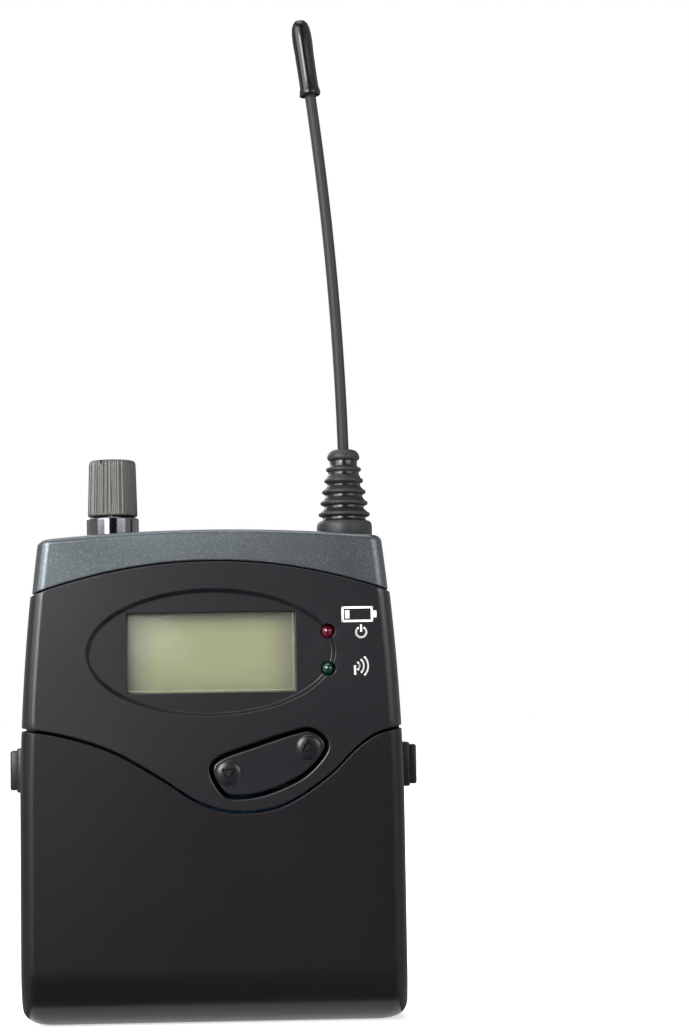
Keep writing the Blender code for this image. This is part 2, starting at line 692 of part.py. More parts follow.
def make_switches(look, plunger_look):
    """Two tact switches on the board, each with a plunger behind a key stem."""
    for name, (x, z) in (("down", KEY_DOWN), ("up", KEY_UP)):
        z = max(z, BOARD_Z[0] + 1.75)
        block = box((x - 1.7, -7.0, z - 1.7), (x + 1.7, -4.3, z + 1.7), 0.15)
        body = piece(f"tact_switch_{name}", block, look)
        cut(body, f"switch_well_{name}", bore(0.95, (x, -9.0, z), (x, -5.7, z), 12))
        plunger = rod(0.8, (x, -7.75, z), (x, -6.2, z), 12)
        piece(f"tact_plunger_{name}", plunger, plunger_look, origin=(x, -7.75, z), smooth=40)


# ---------------------------------------------------------------- board and what it carries

def make_board(board_look, can_look, dark):
    """Main board with the radio's shield can and the jack."""
    slab = box((-BOARD_HALF, BOARD_FRONT, BOARD_Z[0]), (BOARD_HALF, BOARD_BACK, BOARD_Z[1]))
    board = piece("main_board", slab, board_look)
    holes = [bore(1.2, (x, -6.0, z), (x, 0.0, z), 12) for x, z in BOARD_SCREWS]
    cut(board, "board_holes", together(*holes))
    can = piece("radio_shield", box((-7.0, BOARD_BACK + FIT_GAP, 43.0), (19.0, 0.7, 62.0)), can_look)
    cut(can, "shield_hollow", box((-6.7, BOARD_BACK, 43.3), (18.7, 0.4, 61.7)))
    block = box((JACK_X - 3.4, BOARD_BACK + FIT_GAP, 66.5), (JACK_X + 3.4, 5.0, 78.8), 0.2)
    jack = piece("headphone_jack", block, dark)
    join(jack, "jack_neck", rod(2.6, (JACK_X, CONTROL_Y, 78.0), (JACK_X, CONTROL_Y, 80.2)))
    cut(jack, "jack_bore", bore(1.8, (JACK_X, CONTROL_Y, 67.5), (JACK_X, CONTROL_Y, 85.0)))


def make_jack_collar(look):
    """Ring that trims the jack's mouth, flush with the cap."""
    ring = [(1.85, 0.0), (3.3, 0.0), (3.3, 0.45), (3.0, 0.7), (2.2, 0.7), (1.85, 0.45)]
    piece("jack_collar", turned(ring, (JACK_X, CONTROL_Y, JACK_SEAT_Z + 0.3), sides=16), look, smooth=50)


def make_volume_control(body_look, steel, knob_look, ring_look):
    """Potentiometer under the cap, its shaft and nut, and the knurled knob with its bright skirt."""
    y = CONTROL_Y
    block = box((KNOB_X - 4.6, BOARD_BACK + FIT_GAP, 72.6), (KNOB_X + 4.6, 5.6, 77.2), 0.3)
    body = piece("volume_pot", block, body_look)
    join(body, "pot_bushing", rod(2.55, (KNOB_X, y, 76.0), (KNOB_X, y, 82.4)))
    cut(body, "pot_bore", bore(1.6, (KNOB_X, y, 73.4), (KNOB_X, y, 84.0), 12))
    origin = (KNOB_X, y, KNOB_SEAT_Z)
    shaft = rod(1.45, (KNOB_X, y, 73.8), (KNOB_X, y, 90.5), 12)
    piece("pot_shaft", shaft, steel, origin=origin, smooth=40)
    nut = [(2.65, 0.0), (3.45, 0.0), (3.45, 1.0), (2.65, 1.0)]
    piece("pot_nut", turned(nut, (KNOB_X, y, KNOB_SEAT_Z + 0.3), sides=12), steel)
    skirt = [
        (3.8, 0.0), (4.25, 0.0), (4.4, 0.25), (4.4, 3.15), (4.2, 3.45), (1.8, 3.45), (1.8, 2.9), (3.8, 2.9),
    ]
    ring = turned(skirt, (KNOB_X, y, KNOB_SEAT_Z + 0.3), sides=24)
    piece("knob_skirt", ring, ring_look, origin=origin, smooth=50)
    knob = [
        (1.6, 0.0), (4.1, 0.0), (4.2, 0.3), (3.97, 8.7), (3.6, 9.4), (0.0, 9.55), (0.0, 6.6), (1.6, 6.6),
    ]
    knob_z = KNOB_SEAT_Z + 4.05
    piece("volume_knob", turned(knob, (KNOB_X, y, knob_z), sides=24), knob_look, origin=origin, smooth=40)


# ---------------------------------------------------------------- antenna

def whip_x(z):
    """The whip's side-to-side place at a height: it leans and bows to the left."""
    rise = max(z - BOOT_TOP, 0.0)
    straight = max(z - TIP_BASE, 0.0)
    bent = rise - straight
    slope = WHIP_LEAN + 2 * WHIP_BOW * bent
    return ANTENNA_X - WHIP_LEAN * bent - WHIP_BOW * bent ** 2 - slope * straight


def make_antenna(rubber, whip_look, tip_look, brass):
    """Screwed-in base, ribbed strain boot, flexible whip and moulded tip."""
    y = CONTROL_Y
    low = (ANTENNA_X - 3.6, BOARD_BACK + FIT_GAP, 72.7)
    socket = piece("antenna_socket", box(low, (ANTENNA_X + 3.6, 5.4, 77.4), 0.3), brass)
    cut(socket, "socket_bore", bore(2.35, (ANTENNA_X, y, 71.0), (ANTENNA_X, y, 79.0)))
    insert = rod(2.2, (ANTENNA_X, y, 73.2), (ANTENNA_X, y, 84.0))
    piece("antenna_insert", insert, brass, smooth=40)
    foot = ANTENNA_SEAT_Z + 0.3
    outer = [(4.65, foot), (4.7, 82.2), (4.2, 83.1)]
    rib_z = 84.2
    for rib, core in ((4.38, 3.65), (4.04, 3.37), (3.73, 3.18), (3.33, 2.82), (3.0, 2.62)):
        outer += [(core, rib_z - 0.7), (rib, rib_z - 0.4), (rib, rib_z + 0.4)]
        rib_z += 1.92
    outer += [(2.33, 92.4), (2.33, 93.6), (2.75, 94.0), (2.5, 95.0), (1.5, BOOT_TOP)]
    inner = [(1.1, BOOT_TOP), (1.1, 84.4), (2.35, 84.4), (2.35, foot)]
    piece("antenna_boot", turned(outer + inner, (ANTENNA_X, y, 0.0), sides=16), rubber, smooth=60)
    whip_top = TIP_TOP - 4.2
    steps = 12
    heights = [84.8] + [BOOT_TOP + (whip_top - BOOT_TOP) * i / steps for i in range(steps + 1)]
    path = [(whip_x(z), y, z) for z in heights]
    piece("antenna_whip", tube(path, WHIP_RADIUS, 10), whip_look, smooth=60)
    slope = Vector((whip_x(TIP_TOP) - whip_x(TIP_BASE), 0.0, TIP_TOP - TIP_BASE))
    length = slope.length
    tip = [
        (1.1, 0.0), (1.6, 0.0), (1.85, 0.25), (1.85, 1.0), (1.75, 1.4), (1.75, length - 5.0),
        (1.55, length - 1.8), (1.1, length - 0.5), (0.0, length), (0.0, length - 3.3), (1.1, length - 3.3),
    ]
    bm = turned(tip, sides=14)
    turn = slope.to_track_quat("Z", "Y").to_matrix().to_4x4()
    place = Matrix.Translation(Vector((whip_x(TIP_BASE), y, TIP_BASE))) @ turn
    bmesh.ops.transform(bm, matrix=place, verts=bm.verts)
    piece("antenna_tip", bm, tip_look, smooth=50)


# ---------------------------------------------------------------- clip and fasteners

def make_belt_clip(look):
    """Sprung wire loop on the back; its origin is on the pivot through the lugs."""
    y, z = CLIP_PIVOT.y, CLIP_PIVOT.z
    half = [
        (18.6, y, z), (16.0, y, z), (14.5, y + 0.1, z), (CLIP_HALF, y + 0.7, z - 1.0),
        (CLIP_HALF, CLIP_STANDOFF, z - 7.0), (CLIP_HALF, CLIP_STANDOFF, z - 8.5),
        (CLIP_HALF, CLIP_STANDOFF, 29.0), (CLIP_HALF, CLIP_STANDOFF - 0.7, 25.5),
        (CLIP_HALF - 0.6, 14.6, 20.0), (CLIP_HALF - 2.2, 13.6, 16.6),
        (CLIP_HALF - 5.0, 13.4, 14.9), (CLIP_HALF - 8.0, 13.4, 14.5),
    ]
    path = half + [(-x, py, pz) for x, py, pz in reversed(half)]
    clip = piece("belt_clip", tube(path, CLIP_WIRE, 8), look, smooth=60)
    move_origin(clip, CLIP_PIVOT)


def screw(name, spot, head, shank, seat, tip, look):
    """A pan-head screw along Y, head to the back at the seat and its tip towards the front."""
    x, z = spot
    length = seat - tip
    profile = [
        (0.0, -1.2), (head * 0.7, -1.2), (head, -0.4), (head, 0.0), (shank, 0.0), (shank, length - 0.6),
        (0.3, length), (0.0, length),
    ]
    piece(name, turned(profile, (x, seat, z), (0, -1, 0), 10), look, smooth=40)


def make_screws(look):
    """Case screws from the back, board screws into the front shell and tray screws in the bay."""
    names = ("upper_left", "upper_right", "lower_left", "lower_right")
    for name, spot in zip(names, CASE_SCREWS):
        screw(f"case_screw_{name}", spot, 1.8, 0.92, 8.6, -8.4, look)
    for name, spot in zip(("left", "right"), BOARD_SCREWS):
        screw(f"board_screw_{name}", spot, 1.6, 0.7, BOARD_BACK + 0.15, -8.0, look)
    for name, (x, z) in zip(("left", "right"), TRAY_SCREWS):
        profile = [
            (0.0, 0.0), (1.1, 0.0), (1.5, 0.35), (1.5, 1.0), (0.8, 1.0), (0.8, 4.6), (0.3, 5.1), (0.0, 5.1),
        ]
        piece(f"tray_screw_{name}", turned(profile, (x, 5.7, z), (0, 1, 0), 10), look, smooth=40)


def main():
    for old in list(bpy.data.objects):
        bpy.data.objects.remove(old, do_unlink=True)

    charcoal = material("charcoal_plastic", (0.045, 0.042, 0.05), 0.42)
    cover_black = material("cover_plastic", (0.03, 0.026, 0.03), 0.45)
    cap_paint = material("metallic_paint", (0.16, 0.19, 0.2), 0.35, 0.6)
    key_plastic = material("key_plastic", (0.03, 0.028, 0.034), 0.4)
    catch_plastic = material("catch_plastic", (0.025, 0.023, 0.027), 0.4)
    knob_metal = material("knob_metal", (0.09, 0.09, 0.1), 0.3, 0.7)
    ring_metal = material("ring_chrome", (0.12, 0.12, 0.13), 0.12, 1.0)
    rubber = material("boot_rubber", (0.02, 0.019, 0.021), 0.5)
    whip_rubber = material("whip_rubber", (0.06, 0.057, 0.06), 0.55)
    tip_plastic = material("tip_plastic", (0.012, 0.012, 0.014), 0.2)
    clear = material("clear_window", (0.75, 0.76, 0.66), 0.1, alpha=0.35)
    lcd = material("lcd_glass", (0.38, 0.4, 0.29), 0.25)
    backlight = material("backlight", (0.8, 0.8, 0.75), 0.5)
    red = material("led_red", (0.3, 0.01, 0.02), 0.15)
    green = material("led_green", (0.01, 0.14, 0.05), 0.15)
    steel = material("steel", (0.6, 0.6, 0.62), 0.3, 1.0)
    brass = material("brass", (0.6, 0.42, 0.15), 0.3, 1.0)
    tin = material("tinned_steel", (0.7, 0.7, 0.7), 0.35, 1.0)
    fibreglass = material("board", (0.02, 0.13, 0.06), 0.5)
    dark = material("dark_plastic", (0.02, 0.02, 0.022), 0.5)
    white = material("white_plastic", (0.75, 0.74, 0.7), 0.4)
    cell_sleeve = material("cell_sleeve", (0.1, 0.22, 0.42), 0.3, 0.4)
    clip_steel = material("clip_steel", (0.25, 0.25, 0.27), 0.3, 1.0)

    make_top_cap(cap_paint)
    make_front_shell(charcoal)
    make_back_shell(charcoal)
    make_battery_cover(cover_black)
    make_hinge_pins(steel)
    make_catches(catch_plastic, steel)
    make_battery_tray(dark)
    make_cells(cell_sleeve, tin)
    make_display(clear, lcd, dark, backlight)
    make_led("led_red", LED_RED, red)
    make_led("led_green", LED_GREEN, green)
    make_rocker(key_plastic)
    make_switches(dark, white)
    make_board(fibreglass, tin, dark)
    make_jack_collar(ring_metal)
    make_volume_control(dark, steel, knob_metal, ring_metal)
    make_antenna(rubber, whip_rubber, tip_plastic, brass)
    make_belt_clip(clip_steel)
    make_screws(steel)


main()
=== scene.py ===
"""Looks for the belt-pack receiver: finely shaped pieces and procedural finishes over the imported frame."""

import json
import math
import random

import bmesh
import bpy
from mathutils import Matrix, Vector


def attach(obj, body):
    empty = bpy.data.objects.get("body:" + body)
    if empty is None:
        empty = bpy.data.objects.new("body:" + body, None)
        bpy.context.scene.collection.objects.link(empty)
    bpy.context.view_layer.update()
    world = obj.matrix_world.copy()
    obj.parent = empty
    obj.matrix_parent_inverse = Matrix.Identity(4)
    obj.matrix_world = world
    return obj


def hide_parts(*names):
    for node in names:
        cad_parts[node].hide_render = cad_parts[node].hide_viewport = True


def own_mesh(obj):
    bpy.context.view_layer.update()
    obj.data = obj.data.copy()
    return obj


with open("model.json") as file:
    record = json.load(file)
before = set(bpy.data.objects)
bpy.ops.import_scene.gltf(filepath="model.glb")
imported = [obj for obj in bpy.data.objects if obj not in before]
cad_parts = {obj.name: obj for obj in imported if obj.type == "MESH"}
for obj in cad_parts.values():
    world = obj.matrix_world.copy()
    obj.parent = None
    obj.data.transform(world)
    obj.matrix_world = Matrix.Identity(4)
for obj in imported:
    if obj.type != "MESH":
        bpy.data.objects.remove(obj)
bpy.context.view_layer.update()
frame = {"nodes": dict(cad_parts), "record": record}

MM = 0.001

# Casing, in millimetres, as in the CAD
HALF_WIDTH = 31.45
HALF_DEPTH = 12.0
FLANK_START = 34.0
FLANK_RADIUS = 360.0
BOTTOM_FILLET = 9.5
BACK_FILLET = 3.0
FOOT_CORNER = 3.5
FRONT_EDGE = 2.4
BACK_EDGE = 3.0
WALL = 1.7
SPLIT_Y = -2.35
SPLIT_GAP = 0.15
SEAM_GAP = 0.2
CAP_INSET = 0.25
CAP_ROOF = 1.8
CROWN_Z = 81.1
CROWN_RADIUS = 330.0
CAP_ARC_Z = 75.95
CAP_ARC_RADIUS = 91.0
SEAM = [
    (-40.0, 49.6), (-30.0, 48.6), (-22.6, 47.2), (-15.3, 44.6), (-8.0, 40.3), (-3.2, 37.0), (1.0, 35.2),
    (5.0, 34.7), (9.5, 35.2), (13.6, 37.0), (18.9, 40.8), (23.9, 45.6), (28.8, 47.9), (40.0, 49.6),
]
OVAL = (0.0, 60.8, 20.4, 10.4)
OVAL_FLOOR = -HALF_DEPTH + 0.9
WINDOW = (27.7, 13.1)
LAMPS = {"led_red": (19.2, 64.0), "led_green": (19.2, 57.9)}
LAMP_RADIUS = 1.1
ROCKER_OPENING = [
    (-0.4, 41.2), (0.9, 43.7), (7.0, 45.9), (13.5, 47.9), (16.4, 48.2), (18.8, 46.4), (18.6, 43.9),
    (15.0, 40.2), (9.3, 37.6), (4.7, 36.8), (1.7, 37.5),
]
ROCKER_GAP = 0.65
KEY_DOWN = (2.7, 41.1)
KEY_UP = (15.8, 45.1)
HINGE = (-7.0, 5.0)
COVER_LOBE = 5.6
CATCH_Z = (38.1, 45.5)
CATCH_Y = (-0.3, 5.1)
CASE_SCREWS = {
    "case_screw_upper_left": (-25.4, 66.5), "case_screw_upper_right": (25.4, 66.5),
    "case_screw_lower_left": (-25.4, 53.0), "case_screw_lower_right": (25.4, 53.0),
}
CONTROL_Y = 1.5
KNOB_X = -16.7
KNOB_SEAT_Z = 80.3
JACK_X = 3.0
JACK_SEAT_Z = 80.4
ANTENNA_X = 22.65
ANTENNA_SEAT_Z = 79.8
WHIP_RADIUS = 0.95
WHIP_LEAN = 0.0225
WHIP_BOW = 0.00088
BOOT_TOP = 95.3
TIP_BASE = 156.8
TIP_TOP = 170.2
CLIP_PIVOT = (14.2, 63.0)
CLIP_WIRE = 1.0
CLIP_HALF = 14.0
CLIP_STANDOFF = 17.7

# Seats in the cap for the knob, the antenna and the jack: place across, height, radius and bore
CAP_SEATS = [
    (KNOB_X, KNOB_SEAT_Z, 4.5, 2.85),
    (ANTENNA_X, ANTENNA_SEAT_Z, 4.75, 2.55),
    (JACK_X, JACK_SEAT_Z, 3.6, 2.95),
]

# Details that several pieces share
INWARD = (0.0, 1.0, 0.0)
EDGE_ROLL = 0.25
FAR = 40.0
INK = (-HALF_DEPTH - 0.03, -HALF_DEPTH + 0.01)
FLAT = 0.99999

# Studio: sheets as half width, half depth and drop in millimetres, and soft boxes as azimuth from the front,
# elevation, size in metres and power in watts
FLOOR_SHEETS = {"floor": (6000.0, 6000.0, 0.06), "floor_patch": (HALF_WIDTH, HALF_DEPTH - 1.5, 0.05)}
SOFT_BOXES = {
    "key_left": (-43.0, 24.0, (0.78, 0.6), 7.4),
    "glow_left": (-23.0, 13.0, (0.28, 0.36), 4.7),
    "fill_right": (41.0, 14.0, (0.62, 0.26), 2.1),
    "rear": (-160.0, 30.0, (0.8, 0.6), 5.0),
}
BOX_DISTANCE = 0.9
SUN_STRENGTH = 1.6
SUN_ANGLE = 50.0
SUN_TILT = (2.0, -5.0)
TENT_FRONT = 0.03
TENT_SIDE = 0.6
TENT_EDGES = (0.3, 0.7)

# Camera: yaw, pitch and roll in degrees, place in metres and focal length on a 36 mm sensor
CAMERA_ANGLES = (1.811, 4.513, -0.932)
CAMERA_PLACE = (0.010, -0.400, 0.052)
CAMERA_LENS = 82.24


# ---------------------------------------------------------------- outlines

def arc(centre, radius, start, end, steps):
    """Points on a circle between two angles in degrees."""
    points = []
    for step in range(steps + 1):
        angle = math.radians(start + (end - start) * step / steps)
        points.append((centre[0] + radius * math.cos(angle), centre[1] + radius * math.sin(angle)))
    return points


def smooth_through(points, steps, closed=False):
    """Points along a Catmull-Rom curve through the given ones."""
    spots = [Vector(point) for point in points]
    count = len(spots)
    curve = []
    for i in range(count if closed else count - 1):
        if closed:
            a, b, c, d = (spots[(i + k) % count] for k in (-1, 0, 1, 2))
        else:
            a, b, c, d = spots[max(i - 1, 0)], spots[i], spots[i + 1], spots[min(i + 2, count - 1)]
        for step in range(steps):
            t = step / steps
            bend = 2 * b + (c - a) * t + (2 * a - 5 * b + 4 * c - d) * t ** 2
            curve.append((bend + (3 * b - a - 3 * c + d) * t ** 3) / 2)
    if not closed:
        curve.append(spots[-1])
    return curve


def offset_outline(outline, distance):
    """A closed clockwise outline moved inwards by a distance."""
    moved = []
    for i, point in enumerate(outline):
        along = Vector(outline[(i + 1) % len(outline)]) - Vector(outline[i - 1])
        inward = Vector((along.y, -along.x)).normalized()
        moved.append(Vector(point) + inward * distance)
    return moved


def ellipse(x, z, across, up, sides):
    """An elliptical clockwise outline."""
    turn = 2 * math.pi / sides
    return [Vector((x + across * math.cos(i * turn), z - up * math.sin(i * turn))) for i in range(sides)]


def rounded_rectangle(x, z, width, height, radius, steps=4):
    """A clockwise rectangle with rounded corners."""
    w, h = width / 2 - radius, height / 2 - radius
    outline = []
    for side, end, start in ((1, 1, 90), (1, -1, 0), (-1, -1, -90), (-1, 1, -180)):
        outline += arc((x + side * w, z + end * h), radius, start, start - 90, steps)
    return [Vector(point) for point in outline]


# ---------------------------------------------------------------- solids

def skin(rings):
    """A closed surface through rings of the same number of points."""
    bm = bmesh.new()
    loops = [[bm.verts.new(point) for point in ring] for ring in rings]
    for low, high in zip(loops, loops[1:]):
        for i in range(len(low)):
            j = (i + 1) % len(low)
            bm.faces.new((low[i], low[j], high[j], high[i]))
    bm.faces.new(loops[0][::-1])
    bm.faces.new(loops[-1])
    return bm


def with_plain_front(bm):
    """The same solid with its flat front as a single face."""
    bm.normal_update()
    front = [face for face in bm.faces if abs(face.normal.y) > FLAT and face.calc_center_median().y < 0]
    bmesh.ops.dissolve_faces(bm, faces=front, use_verts=False)
    return bm


def prism_y(outline, low, high):
    """A solid with an (x, z) outline between two depths."""
    return skin([[(x, y, z) for x, z in outline] for y in (low, high)])


def prism_x(outline, low, high):
    """A solid with a (y, z) outline between two sides."""
    return skin([[(x, y, z) for y, z in outline] for x in (low, high)])


def flared(outline, layers):
    """A solid along Y through offsets of a clockwise outline, given as (depth, inward offset) pairs."""
    rings = []
    for depth, inward in layers:
        rings.append([(x, depth, z) for x, z in offset_outline(outline, inward)])
    return skin(rings)


def rounding(surface, radius, steps=5):
    """Layers of a cutter whose mouth rolls over at a surface that faces -Y."""
    layers = [(surface - 1.0, -radius), (surface, -radius)]
    for step in range(1, steps + 1):
        angle = math.radians(90 * step / steps)
        layers.append((surface + radius * (1 - math.cos(angle)), -radius * (1 - math.sin(angle))))
    return layers


def turned(profile, base=(0.0, 0.0, 0.0), along=(0.0, 0.0, 1.0), sides=48, looks=None, shift=None):
    """A solid of revolution from (radius, height) pairs, whose profile closes on itself."""
    turn = Vector(along).to_track_quat("Z", "Y").to_matrix().to_4x4()
    place = Matrix.Translation(Vector(base)) @ turn
    step = 2 * math.pi / sides
    bm = bmesh.new()
    rings = []
    for radius, height in profile:
        ring = []
        for i in range(sides if radius else 1):
            spot = Vector((radius * math.cos(i * step), radius * math.sin(i * step), height))
            if shift:
                spot = shift(spot, i * step)
            ring.append(bm.verts.new(place @ spot))
        rings.append(ring)
    for k, (low, high) in enumerate(zip(rings, rings[1:] + rings[:1])):
        if len(low) == 1 and len(high) == 1:
            continue
        for i in range(sides):
            j = (i + 1) % sides
            corners = [low[i % len(low)], low[j % len(low)], high[j % len(high)], high[i % len(high)]]
            face = bm.faces.new(list(dict.fromkeys(corners)))
            face.material_index = looks[k] if looks else 0
    return bm


def rod(radius, start, end, sides=32):
    """A plain cylinder between two points."""
    length = (Vector(end) - Vector(start)).length
    profile = [(0.0, 0.0), (radius, 0.0), (radius, length), (0.0, length)]
    return turned(profile, start, Vector(end) - Vector(start), sides)


def box(low, high, bevel=0.0, segments=3):
    """A box between two corners, with rounded edges."""
    bm = bmesh.new()
    size = Vector(high) - Vector(low)
    bmesh.ops.create_cube(bm, size=1.0)
    bmesh.ops.scale(bm, vec=size, verts=bm.verts)
    bmesh.ops.translate(bm, vec=(Vector(high) + Vector(low)) / 2, verts=bm.verts)
    if bevel:
        bmesh.ops.bevel(bm, geom=bm.edges[:], offset=bevel, segments=segments, profile=0.5, affect="EDGES")
    return bm


def side_box(side, reach, depth, height, bevel=0.0):
    """A box on one side of the casing, between two distances from its middle."""
    low, high = sorted((side * reach[0], side * reach[1]))
    return box((low, depth[0], height[0]), (high, depth[1], height[1]), bevel)


def tube(path, radius, sides=20):
    """A round bar along a path of points."""
    points = [Vector(point) for point in path]
    tangent = (points[1] - points[0]).normalized()
    across = tangent.orthogonal().normalized()
    rings = []
    for i, point in enumerate(points):
        ahead = (points[min(i + 1, len(points) - 1)] - points[max(i - 1, 0)]).normalized()
        across.rotate(tangent.rotation_difference(ahead))
        tangent = ahead
        third = tangent.cross(across)
        ring = []
        for k in range(sides):
            angle = 2 * math.pi * k / sides
            ring.append(point + radius * (math.cos(angle) * across + math.sin(angle) * third))
        rings.append(ring)
    return skin(rings)


def coil(y, z, ends, radii, turns, per_turn):
    """A path that winds along X between two ends while its radius goes from one value to another."""
    path = []
    for i in range(turns * per_turn + 1):
        share = i / (turns * per_turn)
        angle = 2 * math.pi * i / per_turn
        radius = radii[0] + (radii[1] - radii[0]) * share
        x = ends[0] + (ends[1] - ends[0]) * share
        path.append((x, y + radius * math.cos(angle), z + radius * math.sin(angle)))
    return path


def mesh_of(bm, name="scratch"):
    """A mesh made from a solid, which is used up."""
    mesh = bpy.data.meshes.new(name)
    bm.to_mesh(mesh)
    bm.free()
    return mesh


def placed(name, data):
    """A new object in the scene."""
    made = bpy.data.objects.new(name, data)
    bpy.context.scene.collection.objects.link(made)
    return made


def together(*solids):
    """One mesh that holds several solids."""
    whole = bmesh.new()
    for solid in solids:
        mesh = mesh_of(solid)
        whole.from_mesh(mesh)
        bpy.data.meshes.remove(mesh)
    return whole


def scratch(bm):
    """A temporary object, in millimetres."""
    bmesh.ops.recalc_face_normals(bm, faces=bm.faces)
    return placed("scratch", mesh_of(bm))


def carved(bm, *steps):
    """The mesh that is left after steps that each cut, keep or join one or more solids."""
    body = scratch(bm)
    made = [body]
    for operation, *tools in steps:
        made.append(scratch(together(*tools)))
        change = body.modifiers.new(operation, "BOOLEAN")
        change.operation = operation
        change.solver = "EXACT"
        change.object = made[-1]
    bpy.context.view_layer.update()
    graph = bpy.context.evaluated_depsgraph_get()
    mesh = bpy.data.meshes.new_from_object(body.evaluated_get(graph))
    for old in made:
        bpy.data.objects.remove(old, do_unlink=True)
    result = bmesh.new()
    result.from_mesh(mesh)
    bpy.data.meshes.remove(mesh)
    return result


CUT = "DIFFERENCE"
KEEP = "INTERSECT"
JOIN = "UNION"


def flatten_front(mesh):
    """Shade every face that looks straight ahead as flat."""
    normals = [corner.vector.copy() for corner in mesh.corner_normals]
    for face in mesh.polygons:
        if face.normal.y < -FLAT:
            for i in face.loop_indices:
                normals[i] = face.normal.copy()
    mesh.normals_split_custom_set(normals)


def piece(name, bm, looks, body, node=None, angle=35.0, even=False):
    """A finished piece that rides on a body and may stand for a CAD node."""
    bmesh.ops.recalc_face_normals(bm, faces=bm.faces)
    bmesh.ops.scale(bm, vec=(MM, MM, MM), verts=bm.verts)
    mesh = mesh_of(bm, name)
    for look in looks:
        mesh.materials.append(LOOKS[look])
    mesh.shade_smooth()
    mesh.set_sharp_from_angle(angle=math.radians(angle))
    made = placed(name, mesh)
    if even:
        weighted = made.modifiers.new("even_normals", "WEIGHTED_NORMAL")
        weighted.keep_sharp = True
        weighted.weight = 100
        bpy.context.view_layer.update()
        graph = bpy.context.evaluated_depsgraph_get()
        made.data = bpy.data.meshes.new_from_object(made.evaluated_get(graph))
        made.modifiers.clear()
        flatten_front(made.data)
    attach(made, body)
    if node:
        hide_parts(node)
    return made


def stand_in(node, bm, slot, body="case", looks=None, angle=35.0, even=False):
    """The piece that stands for one CAD node, in its slot's finish unless others are given."""
    return piece(f"{node}_visual", bm, looks or [slot], body, node, angle, even)


# ---------------------------------------------------------------- casing form

ROUND_STEPS = 8
WALL_STEPS = (12, 36, 12, 84)
CORNERS = ((1, -1, -90), (1, 1, 0), (-1, 1, 90), (-1, -1, 180))


def flank(z):
    """Half width of the casing at a height."""
    rise = max(z - FLANK_START, 0.0)
    return HALF_WIDTH - FLANK_RADIUS + math.sqrt(FLANK_RADIUS ** 2 - rise ** 2)


def reach_of(radius, below):
    """Reach of a fillet of the given radius at a depth below its centre."""
    if radius < 0:
        return radius
    return math.sqrt(max(radius ** 2 - max(below, 0.0) ** 2, 0.0))


def stations():
    """Places round the casing: a corner, an angle round it and a share of the wall after it."""
    spots = []
    for corner, steps in enumerate(WALL_STEPS):
        spots += [(corner, 90.0 * step / ROUND_STEPS, 0.0) for step in range(ROUND_STEPS)]
        spots += [(corner, 90.0, step / steps) for step in range(steps)]
    return spots


STATIONS = stations()


def rim(corner, angle, z, inset):
    """A point on one rounded corner of the casing's section."""
    side, end, start = CORNERS[corner % 4]
    radius = max((FRONT_EDGE if end < 0 else BACK_EDGE) - inset, 0.3)
    half = flank(z) - FOOT_CORNER + reach_of(FOOT_CORNER - inset, FOOT_CORNER - z)
    if end < 0:
        wall = -HALF_DEPTH + BOTTOM_FILLET - reach_of(BOTTOM_FILLET - inset, BOTTOM_FILLET - z)
    else:
        wall = HALF_DEPTH - BACK_FILLET + reach_of(BACK_FILLET - inset, BACK_FILLET - z)
    turn = math.radians(start + angle)
    x = side * (half - radius) + radius * math.cos(turn)
    y = wall - end * radius + radius * math.sin(turn)
    return Vector((x, y, z))


def place(spot, z, inset):
    """The point at one station, height and depth under the surface."""
    corner, angle, share = spot
    point = rim(corner, angle, z, inset)
    return point.lerp(rim(corner + 1, 0.0, z, inset), share)


def level(height, inset):
    """A ring round the casing whose height is a number or depends on x."""
    ring = []
    for spot in STATIONS:
        z = height(place(spot, 60.0, inset).x) if callable(height) else height
        ring.append(place(spot, z, inset))
    return ring


def between(low, high, share):
    """A height part of the way from one edge to another."""
    return lambda x: low(x) + (high(x) - low(x)) * share


def lifted(edge, rise):
    """An edge moved up by a distance."""
    return lambda x: edge(x) + rise


def rolled_edge(edge, radius, way, inset=0.0, steps=5):
    """Rings that roll the surface over an edge: way is 1 for a top edge and -1 for a lower one."""
    rings = []
    for step in range(steps + 1):
        angle = math.radians(90 * step / steps)
        depth = inset + radius * (1 - math.cos(angle))
        rings.append(level(lifted(edge, way * radius * (math.sin(angle) - 1)), depth))
    rings.append(level(edge, inset + radius + 0.8))
    rings.append(level(edge, inset + 3.2))
    return rings


SEAM_LINE = smooth_through(SEAM, 8)
ROCKER_LINE = smooth_through(ROCKER_OPENING, 10, closed=True)


def seam_height(x):
    """Height of the wavy seam."""
    for low, high in zip(SEAM_LINE, SEAM_LINE[1:]):
        if low.x <= x <= high.x:
            return low.y + (high.y - low.y) * (x - low.x) / (high.x - low.x)
    return SEAM_LINE[-1].y


def arc_height(x):
    """Height of the cap's arched lower edge."""
    return CAP_ARC_Z - CAP_ARC_RADIUS + math.sqrt(CAP_ARC_RADIUS ** 2 - x ** 2)


def crown_height(x):
    """Height of the cap's top."""
    return CROWN_Z - CROWN_RADIUS + math.sqrt(CROWN_RADIUS ** 2 - x ** 2)


def foot_levels(inset=0.0, steps=18):
    """Heights up the bottom fillet, close together where it curves most."""
    radius = BOTTOM_FILLET - inset
    return [inset + radius * (1 - math.cos(math.radians(90.0 * step / steps))) for step in range(steps + 1)]


def lower_form(upper, steps):
    """The casing from its foot up to an edge, in the given number of steps above the bottom fillet."""
    start = BOTTOM_FILLET + 1.5
    brim = lifted(upper, -EDGE_ROLL)
    rings = [level(z, 0.0) for z in foot_levels()]
    rings += [level(between(lambda x: start, brim, step / steps), 0.0) for step in range(steps)]
    return skin(rings + rolled_edge(upper, EDGE_ROLL, 1))


